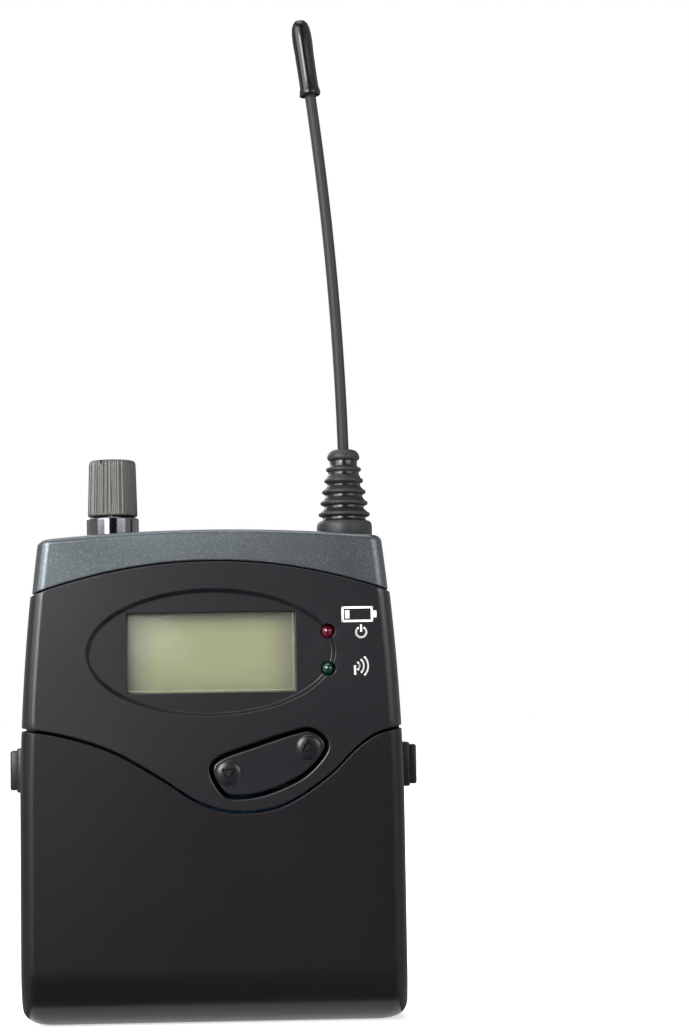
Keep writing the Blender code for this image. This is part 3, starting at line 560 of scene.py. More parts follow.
def hollow():
    """The room inside the casing."""
    heights = foot_levels(WALL, 9) + [22.0, FLANK_START, 46.0, 58.0, 70.0, 84.0]
    return skin([level(z, WALL) for z in heights])


# ---------------------------------------------------------------- finishes

def add(tree, kind, **settings):
    """A shader node with its properties and input values set."""
    made = tree.nodes.new(kind)
    for name, value in settings.items():
        if hasattr(made, name):
            setattr(made, name, value)
        else:
            made.inputs[name.replace("_", " ")].default_value = value
    return made


def ramp(tree, source, stops):
    """A colour ramp over a value, from (position, colour) stops."""
    made = tree.nodes.new("ShaderNodeValToRGB")
    elements = made.color_ramp.elements
    while len(elements) < len(stops):
        elements.new(0.5)
    for element, (position, colour) in zip(elements, stops):
        element.position = position
        element.color = (*colour, 1.0) if isinstance(colour, tuple) else (colour, colour, colour, 1.0)
    tree.links.new(source, made.inputs["Fac"])
    return made.outputs["Color"]


def mixed(tree, share, first, second, way="MIX"):
    """A blend of two colours, each a socket or a plain colour."""
    made = tree.nodes.new("ShaderNodeMix")
    made.data_type = "RGBA"
    made.blend_type = way
    for value, socket in ((share, made.inputs[0]), (first, made.inputs[6]), (second, made.inputs[7])):
        if isinstance(value, bpy.types.NodeSocket):
            tree.links.new(value, socket)
        elif isinstance(value, tuple):
            socket.default_value = (*value, 1.0)
        else:
            socket.default_value = value
    return made.outputs[2]


def object_place(tree):
    """Coordinates that stay with the piece."""
    return tree.nodes.new("ShaderNodeTexCoord").outputs["Object"]


def overlaid(look, share, colour):
    """Blend a colour over the one that a finish has."""
    tree = look.node_tree
    base = tree.nodes["Principled BSDF"].inputs["Base Color"]
    tree.links.new(mixed(tree, share, base.links[0].from_socket, colour), base)


LOOKS = {}


def finish(name, colour, rough, tone=0.12, patch=90.0, grain=5000.0, depth=0.004, wear=0.0, metal=0.0,
           stretch=(1.0, 1.0, 1.0), smear=0.05, **sockets):
    """A procedural finish: mottled colour, fine surface grain, uneven sheen and lighter worn edges."""
    look = bpy.data.materials.new(name)
    look.use_nodes = True
    tree = look.node_tree
    shader = tree.nodes["Principled BSDF"]
    shader.inputs["Metallic"].default_value = metal
    for socket, value in sockets.items():
        shader.inputs[socket.replace("_", " ")].default_value = value
    spread = add(tree, "ShaderNodeMapping", Scale=stretch)
    tree.links.new(object_place(tree), spread.inputs["Vector"])
    clouds = add(tree, "ShaderNodeTexNoise", Scale=patch, Detail=5.0, Roughness=0.6)
    fine = add(tree, "ShaderNodeTexNoise", Scale=grain, Detail=2.0, Roughness=0.5)
    tree.links.new(spread.outputs["Vector"], clouds.inputs["Vector"])
    tree.links.new(spread.outputs["Vector"], fine.inputs["Vector"])
    dark = tuple(value * (1 - tone) for value in colour)
    light = tuple(value * (1 + tone) for value in colour)
    tint = ramp(tree, clouds.outputs["Fac"], [(0.3, dark), (0.7, light)])
    if wear:
        shape = tree.nodes.new("ShaderNodeNewGeometry")
        edge = ramp(tree, shape.outputs["Pointiness"], [(0.52, 0.0), (0.6, wear)])
        worn = tuple(min(value * 2.2 + 0.02, 1.0) for value in colour)
        tint = mixed(tree, edge, tint, worn)
    tree.links.new(tint, shader.inputs["Base Color"])
    sheen = ramp(tree, clouds.outputs["Fac"], [(0.3, rough - smear), (0.7, rough + smear)])
    tree.links.new(sheen, shader.inputs["Roughness"])
    bump = add(tree, "ShaderNodeBump", Strength=1.0, Distance=depth * MM)
    tree.links.new(fine.outputs["Fac"], bump.inputs["Height"])
    tree.links.new(bump.outputs["Normal"], shader.inputs["Normal"])
    LOOKS[name] = look
    return look


def flake_paint(name, colour):
    """Grey metallic paint with tiny tilted flakes, the sparse brightest ones lightened in colour as painted
    glints.
    """
    look = finish(name, colour, 0.33, tone=0.08, patch=60.0, grain=2500.0, depth=0.003, wear=0.3, metal=0.8)
    tree = look.node_tree
    flakes = add(tree, "ShaderNodeTexVoronoi", Scale=5200.0)
    tree.links.new(object_place(tree), flakes.inputs["Vector"])
    single = tree.nodes.new("ShaderNodeSeparateColor")
    tree.links.new(flakes.outputs["Color"], single.inputs["Color"])
    # Painted glint: sparse flakes get a lighter colour in every light, while their tilt below is a real bump
    glint = ramp(tree, single.outputs["Red"], [(0.78, 0.0), (1.0, 0.4)])
    overlaid(look, glint, (0.24, 0.262, 0.275))
    bump = tree.nodes["Principled BSDF"].inputs["Normal"].links[0].from_node
    tilt = add(tree, "ShaderNodeBump", Strength=0.5, Distance=0.006 * MM)
    tree.links.new(single.outputs["Green"], tilt.inputs["Height"])
    tree.links.new(tilt.outputs["Normal"], bump.inputs["Normal"])


def display_glass(name):
    """Olive display, greyer behind the window's frosted side margins, with painted shade darkening it under
    its top edge.
    """
    look = finish(
        name, (0.158, 0.168, 0.078), 0.4, tone=0.03, patch=120.0, grain=3000.0, depth=0.0006,
        Specular_IOR_Level=0.2)
    tree = look.node_tree
    apart = tree.nodes.new("ShaderNodeSeparateXYZ")
    tree.links.new(object_place(tree), apart.inputs["Vector"])
    across = add(tree, "ShaderNodeMath", operation="ABSOLUTE")
    tree.links.new(apart.outputs["X"], across.inputs[0])
    share = add(tree, "ShaderNodeMapRange", From_Max=0.016)
    tree.links.new(across.outputs[0], share.inputs["Value"])
    margin = ramp(tree, share.outputs["Result"], [(0.58, 0.0), (0.78, 0.85)])
    overlaid(look, margin, (0.098, 0.09, 0.062))
    # Painted shade: the colour darkens towards the display's top edge, where the bezel and recess shade it
    top = OVAL[1] + WINDOW[1] / 2
    height = add(tree, "ShaderNodeMapRange", From_Min=(top - 3.2) * MM, From_Max=top * MM)
    tree.links.new(apart.outputs["Z"], height.inputs["Value"])
    painted_top_shade = ramp(tree, height.outputs["Result"], [(0.0, 0.0), (0.45, 0.3), (0.75, 0.75), (0.95, 1.0)])
    overlaid(look, painted_top_shade, (0.012, 0.012, 0.009))


def board_finish(name):
    """Green solder mask with faint copper tracks under it."""
    look = finish(
        name, (0.001, 0.007, 0.003), 0.5, tone=0.2, patch=200.0, depth=0.003, Specular_IOR_Level=0.2)
    tree = look.node_tree
    tracks = add(tree, "ShaderNodeTexBrick", Scale=260.0, Mortar_Size=0.035)
    tree.links.new(object_place(tree), tracks.inputs["Vector"])
    overlaid(look, tracks.outputs["Fac"], (0.002, 0.014, 0.006))


# Finishes for the record's slots, with a few more for rims, ends, printed marks and a painted highlight on the
# window's edges
flake_paint("cap_paint", (0.09, 0.104, 0.113))
finish("charcoal_plastic", (0.006, 0.0062, 0.008), 0.28, patch=40.0, grain=4200.0, depth=0.005, wear=0.1,
       smear=0.006, Specular_IOR_Level=0.5)
finish("cover_plastic", (0.0056, 0.0042, 0.006), 0.31, patch=40.0, grain=4200.0, depth=0.005, wear=0.1,
       smear=0.006, Specular_IOR_Level=0.3)
finish("key_plastic", (0.006, 0.0053, 0.0075), 0.28, grain=5200.0, depth=0.004, wear=0.1, smear=0.01)
finish("catch_plastic", (0.007, 0.0068, 0.0073), 0.34, grain=5200.0, depth=0.004, wear=0.2,
       Specular_IOR_Level=0.3)
finish("knob_plating", (0.12, 0.117, 0.11), 0.5, tone=0.2, patch=500.0, grain=6000.0, depth=0.003,
       metal=0.85, stretch=(3.0, 3.0, 0.15), smear=0.08, wear=0.5)
finish("ring_plating", (0.16, 0.16, 0.17), 0.1, tone=0.06, grain=3000.0, depth=0.0006, metal=1.0, smear=0.03)
finish("boot_rubber", (0.013, 0.0135, 0.015), 0.5, grain=5200.0, depth=0.006, wear=0.5)
finish("boot_gloss", (0.008, 0.008, 0.009), 0.22, grain=3000.0, depth=0.002)
finish("whip_rubber", (0.021, 0.0205, 0.021), 0.5, tone=0.15, patch=300.0, grain=5000.0, depth=0.006,
       stretch=(1.0, 1.0, 0.25), Specular_IOR_Level=0.3)
finish("tip_plastic", (0.006, 0.006, 0.007), 0.16, grain=2500.0, depth=0.0015, smear=0.04,
       Specular_IOR_Level=0.4)
display_glass("lcd_glass")
finish("backlight", (0.75, 0.75, 0.7), 0.5)
finish("led_red", (0.06, 0.001, 0.008), 0.12, tone=0.3, patch=700.0, depth=0.0008, Coat_Weight=0.6)
finish("led_green", (0.0015, 0.02, 0.01), 0.12, tone=0.3, patch=700.0, depth=0.0008, Coat_Weight=0.6)
finish("steel", (0.55, 0.55, 0.56), 0.3, metal=1.0, grain=7000.0, depth=0.003, stretch=(1.0, 1.0, 0.2))
finish("contact_steel", (0.66, 0.66, 0.65), 0.28, metal=1.0, depth=0.002, smear=0.08)
finish("brass", (0.62, 0.43, 0.16), 0.27, metal=1.0, depth=0.003, stretch=(1.0, 1.0, 6.0))
board_finish("board")
finish("dark_plastic", (0.016, 0.016, 0.018), 0.55, grain=3800.0, depth=0.008, wear=0.3)
finish("white_plastic", (0.72, 0.71, 0.67), 0.42, tone=0.04)
finish("cell_sleeve", (0.06, 0.16, 0.36), 0.26, tone=0.1, patch=150.0, depth=0.002, metal=0.6, wear=0.4)
finish("cell_end", (0.6, 0.6, 0.58), 0.3, metal=1.0, depth=0.003, smear=0.08)
finish("clip_steel", (0.2, 0.2, 0.21), 0.25, tone=0.1, metal=1.0, grain=6000.0, depth=0.003, smear=0.07)
finish("print_ink", (0.82, 0.82, 0.82), 0.5, tone=0.04, grain=6000.0, depth=0.002)
finish("clear_window", (0.4, 0.42, 0.34), 0.12, tone=0.03, patch=300.0, depth=0.0004, smear=0.04, Alpha=0.08)
# Painted highlight: a lighter, less clear colour for the window's right and lower edge faces
finish("window_edge_painted_highlight", (0.55, 0.55, 0.47), 0.25, tone=0.05, depth=0.0006, Alpha=0.4)


# ---------------------------------------------------------------- casing pieces

def make_top_cap():
    """Metallic cap: arched lower edge, rolled crown and seats for the knob, the jack and the antenna."""
    rings = rolled_edge(arc_height, EDGE_ROLL, -1, CAP_INSET)[::-1]
    low, high = lifted(arc_height, EDGE_ROLL), lifted(crown_height, -1.0)
    rings += [level(between(low, high, step / 6), CAP_INSET) for step in range(1, 6)]
    rings += rolled_edge(crown_height, 1.0, 1, CAP_INSET, 7)
    rings += [level(crown_height, inset) for inset in (5.0, 7.5, 10.0)]
    room = skin([level(z, CAP_INSET + WALL) for z in (60.0, 70.0, lifted(crown_height, -CAP_ROOF))])
    seats = []
    holes = []
    for x, z, radius, bore in CAP_SEATS:
        top = crown_height(x) - z
        profile = [
            (0.0, 0.0), (radius, 0.0), (radius, top - 0.15), (radius + 0.06, top - 0.03),
            (radius + 0.25, top + 0.2), (radius + 0.25, 5.0), (0.0, 5.0),
        ]
        seats.append(turned(profile, (x, CONTROL_Y, z), sides=64))
        holes.append(rod(bore, (x, CONTROL_Y, 76.0), (x, CONTROL_Y, 84.0)))
    bm = carved(skin(rings), (CUT, room), (CUT, *seats), (CUT, *holes))
    stand_in("top_cap", bm, "cap_paint", even=True)


def oval_cutter():
    """The display's shallow oval with a sloping rim."""
    layers = rounding(-HALF_DEPTH, 0.15, 4)[:-1] + [(-HALF_DEPTH + 0.12, 0.02)]
    layers += [(OVAL_FLOOR - 0.12, 0.42), (OVAL_FLOOR - 0.03, 0.5), (OVAL_FLOOR, 0.62)]
    return flared(ellipse(*OVAL, 128), layers)


def make_front_shell():
    """Upper front of the casing with the display oval, the lamps and the rocker key's opening."""
    lower = lifted(seam_height, SEAM_GAP)
    upper = lifted(arc_height, -SEAM_GAP)
    rings = rolled_edge(lower, EDGE_ROLL, -1)[::-1]
    low, high = lifted(lower, EDGE_ROLL), lifted(upper, -EDGE_ROLL)
    rings += [level(between(low, high, step / 24), 0.0) for step in range(1, 24)]
    rings += rolled_edge(upper, EDGE_ROLL, 1)
    through = [(-6.0, 0.0)]
    window = rounded_rectangle(OVAL[0], OVAL[1], *WINDOW, 0.35)
    rocker = flared(ROCKER_LINE, rounding(-HALF_DEPTH, 0.3, 6) + through)
    glass = flared(window, rounding(OVAL_FLOOR, 0.2, 4) + through)
    lamps = []
    for x, z in LAMPS.values():
        hole = ellipse(x, z, LAMP_RADIUS + 0.12, LAMP_RADIUS + 0.12, 40)
        lamps.append(flared(hole, rounding(-HALF_DEPTH, 0.12, 3) + through))
    front = prism_y([(-FAR, 20.0), (FAR, 20.0), (FAR, 90.0), (-FAR, 90.0)], -20.0, SPLIT_Y)
    bm = carved(
        with_plain_front(skin(rings)), (CUT, hollow()), (KEEP, front), (CUT, oval_cutter()),
        (CUT, rocker, glass), (CUT, *lamps))
    stand_in("front_shell", bm, "charcoal_plastic", even=True)


def lobe_edge(radius, edge, end):
    """The hinge's round edge, from the split plane down to the bottom."""
    meet = math.degrees(math.acos((edge - HINGE[0]) / radius))
    return arc(HINGE, radius, meet, end, 24)


def make_battery_cover():
    """Hinged cover over the lower front, round the bottom edge."""
    edge = SPLIT_Y - SPLIT_GAP
    lobe = lobe_edge(COVER_LOBE, edge, -75.0)
    form = prism_x([(-20.0, 60.0), (edge, 60.0)] + lobe + [(-20.0, -5.0)], -FAR, FAR)
    ears = [rod(2.6, (side * 28.9, *HINGE), (side * 30.6, *HINGE)) for side in (-1, 1)]
    keepers = [side_box(side, (29.2, 30.4), (-6.4, -4.4), (40.2, 43.8), 0.15) for side in (-1, 1)]
    bores = [rod(0.87, (side * 28.0, *HINGE), (side * 30.5, *HINGE), 24) for side in (-1, 1)]
    solid = lower_form(lifted(seam_height, -SEAM_GAP), 20)
    bm = carved(solid, (CUT, hollow()), (KEEP, form), (JOIN, *ears), (JOIN, *keepers), (CUT, *bores))
    stand_in("battery_cover", bm, "cover_plastic", "cover", even=True)


def make_back_shell():
    """Back of the casing with screw wells, catch slots and lugs for the clip."""
    edge = SPLIT_Y + SPLIT_GAP
    lobe = lobe_edge(COVER_LOBE + 0.3, edge, -72.0)
    form = prism_x([(edge, 95.0)] + lobe + [(-5.2, -5.0), (20.0, -5.0), (20.0, 95.0)], -FAR, FAR)
    inside = HALF_DEPTH - WALL
    posts = [rod(2.3, (x, edge + 0.2, z), (x, inside + 0.4, z)) for x, z in CASE_SCREWS.values()]
    posts += [side_box(side, (22.6, 23.6), (0.4, inside + 0.4), (39.6, 44.0)) for side in (-1, 1)]
    y, z = CLIP_PIVOT
    outline = [(11.0, z - 4.5), (12.6, z - 4.5)] + arc(CLIP_PIVOT, 2.3, -40, 90, 14) + [(11.0, z + 3.5)]
    lugs = [prism_x(outline, *sorted((side * 16.2, side * 20.2))) for side in (-1, 1)]
    pivots = [rod(CLIP_WIRE + 0.08, (side * 15.0, y, z), (side * 18.9, y, z)) for side in (-1, 1)]
    gap = 0.3
    depth, height = ((low - gap, high + gap) for low, high in (CATCH_Y, CATCH_Z))
    slots = [side_box(side, (27.0, 36.0), depth, height, 0.15) for side in (-1, 1)]
    well = [
        (0.0, -6.0), (1.15, -6.0), (1.15, 8.2), (2.1, 8.2), (2.1, 11.7), (2.4, 12.0), (2.4, 16.0), (0.0, 16.0),
    ]
    wells = [turned(well, (x, 0.0, z), INWARD) for x, z in CASE_SCREWS.values()]
    solid = lower_form(lifted(arc_height, -SEAM_GAP), 24)
    bm = carved(
        solid, (CUT, hollow()), (KEEP, form), (JOIN, *posts), (JOIN, *lugs), (CUT, *pivots), (CUT, *slots),
        (CUT, *wells))
    stand_in("back_shell", bm, "charcoal_plastic", even=True)


# ---------------------------------------------------------------- display, lamps and key

def make_window():
    """Clear window with a softly rounded front edge, and a painted highlight on its right and lower edge
    faces.
    """
    outline = rounded_rectangle(OVAL[0], OVAL[1], WINDOW[0] - 0.5, WINDOW[1] - 0.5, 0.3)
    plate = flared(outline, [(-10.8, 0.16), (-10.76, 0.07), (-10.65, 0.0), (-9.3, 0.0)])
    flange = rounded_rectangle(OVAL[0], OVAL[1], WINDOW[0] + 3.0, WINDOW[1] + 3.0, 0.5)
    bm = carved(plate, (JOIN, flared(flange, [(-9.5, 0.0), (-8.9, 0.0)])))
    rim_band = 0.6
    # Painted highlight: edge faces on the right and at the bottom take the lighter window edge finish
    for face in bm.faces:
        spot = face.calc_center_median()
        painted_highlight_side = spot.x > WINDOW[0] / 2 - rim_band or spot.z < OVAL[1] - WINDOW[1] / 2 + rim_band
        if painted_highlight_side and spot.y < -10.6 and abs(face.normal.y) < 0.99:
            face.material_index = 1
    stand_in("lcd_window", bm, "clear_window", looks=["clear_window", "window_edge_painted_highlight"])


def make_lamps():
    """Small glossy tinted domes."""
    for name, (x, z) in LAMPS.items():
        dome = [(0.0, 0.0)]
        for step in range(1, 9):
            angle = math.radians(90 * step / 8)
            dome.append((LAMP_RADIUS * math.sin(angle), LAMP_RADIUS * (1 - math.cos(angle))))
        body = dome + [(LAMP_RADIUS, 2.6), (1.45, 2.6), (1.45, 3.6), (0.4, 3.6), (0.4, 7.3), (0.0, 7.3)]
        bm = turned(body, (x, -11.7, z), INWARD, 40)
        stand_in(name, bm, name, angle=50)


def triangle_groove(x, z, size, way):
    """A triangular frame to engrave, pointing up or down."""
    bars = []
    corners = []
    for turn in (90, 210, 330):
        angle = math.radians(turn)
        corners.append(Vector((x + size * math.cos(angle), z + way * size * math.sin(angle))))
    for a, b in zip(corners, corners[1:] + corners[:1]):
        along = (b - a).normalized()
        side = Vector((-along.y, along.x)) * 0.15
        start, end = a - along * 0.08, b + along * 0.08
        bars.append(prism_y([start - side, end - side, end + side, start + side], -12.6, -11.7))
    return bars


def make_rocker():
    """Two-way key with a domed, engraved button at each end."""
    layers = [(-11.85, 0.32), (-11.83, 0.2), (-11.77, 0.09), (-11.68, 0.02), (-11.55, 0.0), (-10.5, 0.0)]
    plate = flared(offset_outline(ROCKER_LINE, ROCKER_GAP), layers)
    button = [
        (0.0, 0.0), (0.8, 0.015), (1.3, 0.055), (1.65, 0.12), (1.9, 0.22), (2.08, 0.36), (2.14, 0.5),
        (2.14, 0.9), (0.0, 0.9),
    ]
    keys = (KEY_DOWN, KEY_UP)
    domes = [turned(button, (x, -12.25, z), INWARD, 56) for x, z in keys]
    stems = [rod(0.8, (x, -10.9, z), (x, -8.3, z), 20) for x, z in keys]
    grooves = triangle_groove(*KEY_DOWN, 1.15, -1) + triangle_groove(*KEY_UP, 1.15, 1)
    bm = carved(plate, (JOIN, *domes), (JOIN, *stems), *((CUT, bar) for bar in grooves))
    stand_in("rocker_key", bm, "key_plastic", "rocker", even=True)


def stroke(points, width):
    """A thin printed line through points, as one flat solid for each stretch."""
    lines = []
    for a, b in zip(points, points[1:]):
        a, b = Vector(a), Vector(b)
        along = (b - a).normalized() * width * 0.3
        side = Vector((-along.y, along.x)).normalized() * width / 2
        corners = [a - along - side, b + along - side, b + along + side, a - along + side]
        lines.append(prism_y(corners, *INK))
    return lines


def make_prints():
    """Plain pictograms by the lamps: a nearly empty battery, a power sign and radio waves."""
    x, z = 24.3, 66.7
    corners = ((-2.6, -1.1), (2.2, -1.1), (2.2, 1.1), (-2.6, 1.1), (-2.6, -1.1))
    border = [(x + aside, z + up) for aside, up in corners]
    marks = stroke(border, 0.34) + stroke([(x + 2.7, z - 0.4), (x + 2.7, z + 0.4)], 0.5)
    marks += stroke([(x - 1.85, z - 0.45), (x - 1.85, z + 0.45)], 0.7)
    x, z = 24.7, 63.75
    marks += stroke(arc((x, z), 0.85, 125, 415, 14), 0.3) + stroke([(x, z + 0.15), (x, z + 1.15)], 0.3)
    x, z = 24.5, 57.9
    marks += stroke([(x - 0.9, z - 1.0), (x - 0.9, z + 0.3)], 0.32)
    for radius, half_turn, steps in ((0.75, 50, 6), (1.45, 45, 8), (2.15, 42, 10)):
        marks += stroke(arc((x - 0.9, z + 0.3), radius, -half_turn, half_turn, steps), 0.28)
    piece("lamp_pictograms", together(*marks), ["print_ink"], "case")


# ---------------------------------------------------------------- catches

def make_catches():
    """Side catches: a stepped thumb pad with fine ridges, and the flange and finger inside."""
    seat = (CATCH_Z[0] + CATCH_Z[1]) / 2
    for name, side in (("left", -1), ("right", 1)):
        body = side_box(side, (29.9, 32.95), CATCH_Y, CATCH_Z, 0.3)
        steps = [
            (JOIN, side_box(side, (32.0, 34.1), (CATCH_Y[0] + 0.35, CATCH_Y[1] - 0.35),
                            (CATCH_Z[0] + 0.4, CATCH_Z[1] - 0.4), 0.35)),
            (JOIN, side_box(side, (28.9, 30.3), (CATCH_Y[0] + 0.3, CATCH_Y[1] - 0.3), (39.7, 45.1))),
            (JOIN, side_box(side, (27.6, 29.1), (-1.2, 6.2), (39.4, 46.2), 0.2)),
            (JOIN, side_box(side, (27.8, 28.8), (-6.6, -0.8), (40.4, 43.6), 0.2)),
        ]
        ridges = []
        grip = (CATCH_Y[0] + 0.9, CATCH_Y[1] - 0.9)
        for i in range(-3, 4):
            z = seat + 0.75 * i
            ridges.append(side_box(side, (33.92, 34.6), grip, (z - 0.16, z + 0.16)))
        steps.append((CUT, *ridges))
        stand_in(f"release_catch_{name}", carved(body, *steps), "catch_plastic", f"catch_{name}")
        wire = coil(2.4, seat, (side * 24.1, side * 27.0), (1.6, 1.6), 4, 20)
        spring = stand_in(f"catch_spring_{name}", tube(wire, 0.22, 10), "steel", angle=60)
        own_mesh(spring)


# ---------------------------------------------------------------- controls on the top

def make_knob():
    """Knob with fine uneven vertical grooves and a small pointer notch in its top rim."""
    dice = random.Random(7)
    sides = 384
    depths = [0.0] * sides
    spot = 0
    while spot < sides:
        width = dice.choice((2, 3, 3, 4))
        depth = dice.uniform(0.05, 0.17)
        for i in range(width):
            share = (i + 0.5) / width
            depths[(spot + i) % sides] = depth * math.sin(math.pi * share)
        spot += width + dice.choice((1, 2, 2, 3))
    notch = math.atan2(3.6, 1.7)
    top = 9.55

    def shaped(point, angle):
        radius = math.hypot(point.x, point.y)
        if radius > 3.3 and 0.25 < point.z < 9.35:
            share = 1 - depths[round(angle / (2 * math.pi) * sides) % sides] / radius
            point = Vector((point.x * share, point.y * share, point.z))
        away = abs((angle - notch + math.pi) % (2 * math.pi) - math.pi)
        if radius > 1.0 and point.z > 8.4 and away < 0.13:
            point.z = min(point.z, top - 0.9 * (1 - away / 0.13))
        return point

    profile = [(1.6, 0.0), (4.05, 0.0), (4.16, 0.1), (4.2, 0.3)]
    profile += [(4.2 - 0.23 * z / 8.4, 0.3 + z) for z in (0.15, 1.5, 3.0, 4.5, 6.0, 7.5, 8.3)]
    profile += [(3.96, 8.8), (3.9, 9.1), (3.78, 9.33), (3.55, 9.48), (3.2, 9.53)]
    profile += [(2.5, top), (1.2, top), (0.0, top), (0.0, 6.6), (1.6, 6.6)]
    base = (KNOB_X, CONTROL_Y, KNOB_SEAT_Z + 4.05)
    bm = turned(profile, base, sides=sides, shift=shaped)
    stand_in("volume_knob", bm, "knob_plating", "knob", angle=50)
    skirt = [
        (3.8, 0.0), (4.2, 0.0), (4.33, 0.05), (4.4, 0.18), (4.4, 0.24), (4.4, 3.04), (4.4, 3.1), (4.37, 3.25),
        (4.28, 3.37), (4.1, 3.45), (1.8, 3.45), (1.8, 2.9), (3.8, 2.9),
    ]
    bm = turned(skirt, (KNOB_X, CONTROL_Y, KNOB_SEAT_Z + 0.3), sides=128)
    stand_in("knob_skirt", bm, "ring_plating", "knob", angle=40)


def make_jack_collar():
    """Ring that trims the jack's mouth."""
    ring = [
        (1.85, 0.0), (3.3, 0.0), (3.3, 0.45), (3.22, 0.6), (3.05, 0.68), (2.9, 0.7), (2.25, 0.7),
        (2.05, 0.66), (1.9, 0.56), (1.85, 0.42),
    ]
    bm = turned(ring, (JACK_X, CONTROL_Y, JACK_SEAT_Z + 0.3), sides=64)
    stand_in("jack_collar", bm, "ring_plating", angle=50)


def whip_x(z):
    """The whip's side-to-side place at a height: it leans and bows to the left."""
    rise = max(z - BOOT_TOP, 0.0)
    straight = max(z - TIP_BASE, 0.0)
    bent = rise - straight
    slope = WHIP_LEAN + 2 * WHIP_BOW * bent
    return ANTENNA_X - WHIP_LEAN * bent - WHIP_BOW * bent ** 2 - slope * straight


def make_antenna():
    """Ribbed boot with glossy waists, flexible whip and moulded tip."""
    foot = ANTENNA_SEAT_Z + 0.3
    outer = [
        (4.6, foot), (4.68, foot + 0.15), (4.7, 81.6), (4.68, 82.3), (4.55, 82.75), (4.3, 83.0), (3.95, 83.1),
    ]
    looks = [0] * len(outer)
    rib_z = 84.2
    for rib, core in ((4.38, 3.65), (4.04, 3.37), (3.73, 3.18), (3.33, 2.82), (3.0, 2.62)):
        outer += [(core + 0.08, rib_z - 1.02), (core, rib_z - 0.9), (core, rib_z - 0.5)]
        looks += [1, 1, 0]
        outer += arc((rib - 0.36, rib_z), 0.36, -90, 90, 8)
        looks += [0] * 9
        rib_z += 1.92
    outer += [(2.4, 92.35), (2.33, 92.5), (2.33, 93.35), (2.45, 93.45), (2.65, 93.6), (2.76, 93.85)]
    looks += [1, 1, 1, 0, 0, 0]
    outer += [(2.75, 94.1), (2.64, 94.45), (2.4, 94.85), (2.05, 95.12), (1.6, 95.27), (1.15, BOOT_TOP)]
    inner = [(1.05, BOOT_TOP - 0.1), (1.05, 84.4), (2.35, 84.4), (2.35, foot)]
    looks += [0] * 10
    bm = turned(outer + inner, (ANTENNA_X, CONTROL_Y, 0.0), sides=72, looks=looks)
    stand_in("antenna_boot", bm, "boot_rubber", looks=["boot_rubber", "boot_gloss"], angle=50)
    steps = 48
    whip_top = TIP_TOP - 4.2
    heights = [84.8] + [BOOT_TOP + (whip_top - BOOT_TOP) * i / steps for i in range(steps + 1)]
    bm = tube([(whip_x(z), CONTROL_Y, z) for z in heights], WHIP_RADIUS, 32)
    stand_in("antenna_whip", bm, "whip_rubber", angle=60)
    slope = Vector((whip_x(TIP_TOP) - whip_x(TIP_BASE), 0.0, TIP_TOP - TIP_BASE))
    length = slope.length - 0.05
    tip = [
        (1.1, 0.0), (1.45, 0.0), (1.7, 0.06), (1.82, 0.2), (1.85, 0.45), (1.84, 0.85), (1.76, 1.15),
        (1.68, 1.5), (1.66, 3.5), (1.7, length - 6.0), (1.77, length - 4.0), (1.75, length - 2.6),
        (1.62, length - 1.5), (1.36, length - 0.7), (0.95, length - 0.22), (0.5, length - 0.03),
        (0.0, length), (0.0, length - 3.3), (1.1, length - 3.3),
    ]
    bm = turned(tip, (whip_x(TIP_BASE), CONTROL_Y, TIP_BASE), slope, 48)
    stand_in("antenna_tip", bm, "tip_plastic", angle=60)


# ---------------------------------------------------------------- clip, screws and battery bay

def make_belt_clip():
    """Sprung wire loop on the back."""
    y, z = CLIP_PIVOT
    aside, away = CLIP_HALF, CLIP_STANDOFF
    half = [
        (18.6, y, z), (16.0, y, z), (14.5, y + 0.1, z), (aside, y + 0.7, z - 1.0), (aside, away, z - 7.0),
        (aside, away, z - 8.5), (aside, away, 29.0), (aside, away - 0.7, 25.5), (aside - 0.6, 14.6, 20.0),
        (aside - 2.2, 13.6, 16.6), (aside - 5.0, 13.4, 14.9), (aside - 8.0, 13.4, 14.5),
    ]
    path = smooth_through(half + [(-x, py, pz) for x, py, pz in reversed(half)], 5)
    path = [(spot.x, min(spot.y, away - 0.02), spot.z) for spot in path]
    stand_in("belt_clip", tube(path, CLIP_WIRE - 0.03, 24), "clip_steel", "clip", angle=60)


def cross_slot(x, y, z, size):
    """The two bars of a cross recess in a screw head that faces the back."""
    bars = []
    for width, height in ((size, 0.32), (0.32, size)):
        bars.append(box((x - width / 2, y, z - height / 2), (x + width / 2, y + 2.0, z + height / 2)))
    return bars


def make_screws():
    """Case screws with domed cross-recessed heads."""
    for name, (x, z) in CASE_SCREWS.items():
        profile = [
            (0.0, -1.2), (0.8, -1.16), (1.3, -0.98), (1.62, -0.7), (1.78, -0.4), (1.8, 0.0), (0.92, 0.0),
            (0.92, 16.4), (0.3, 17.0), (0.0, 17.0),
        ]
        recess = [(CUT, bar) for bar in cross_slot(x, 9.2, z, 2.0)]
        bm = carved(turned(profile, (x, 8.6, z), (0, -1, 0)), *recess)
        stand_in(name, bm, "steel", angle=40)


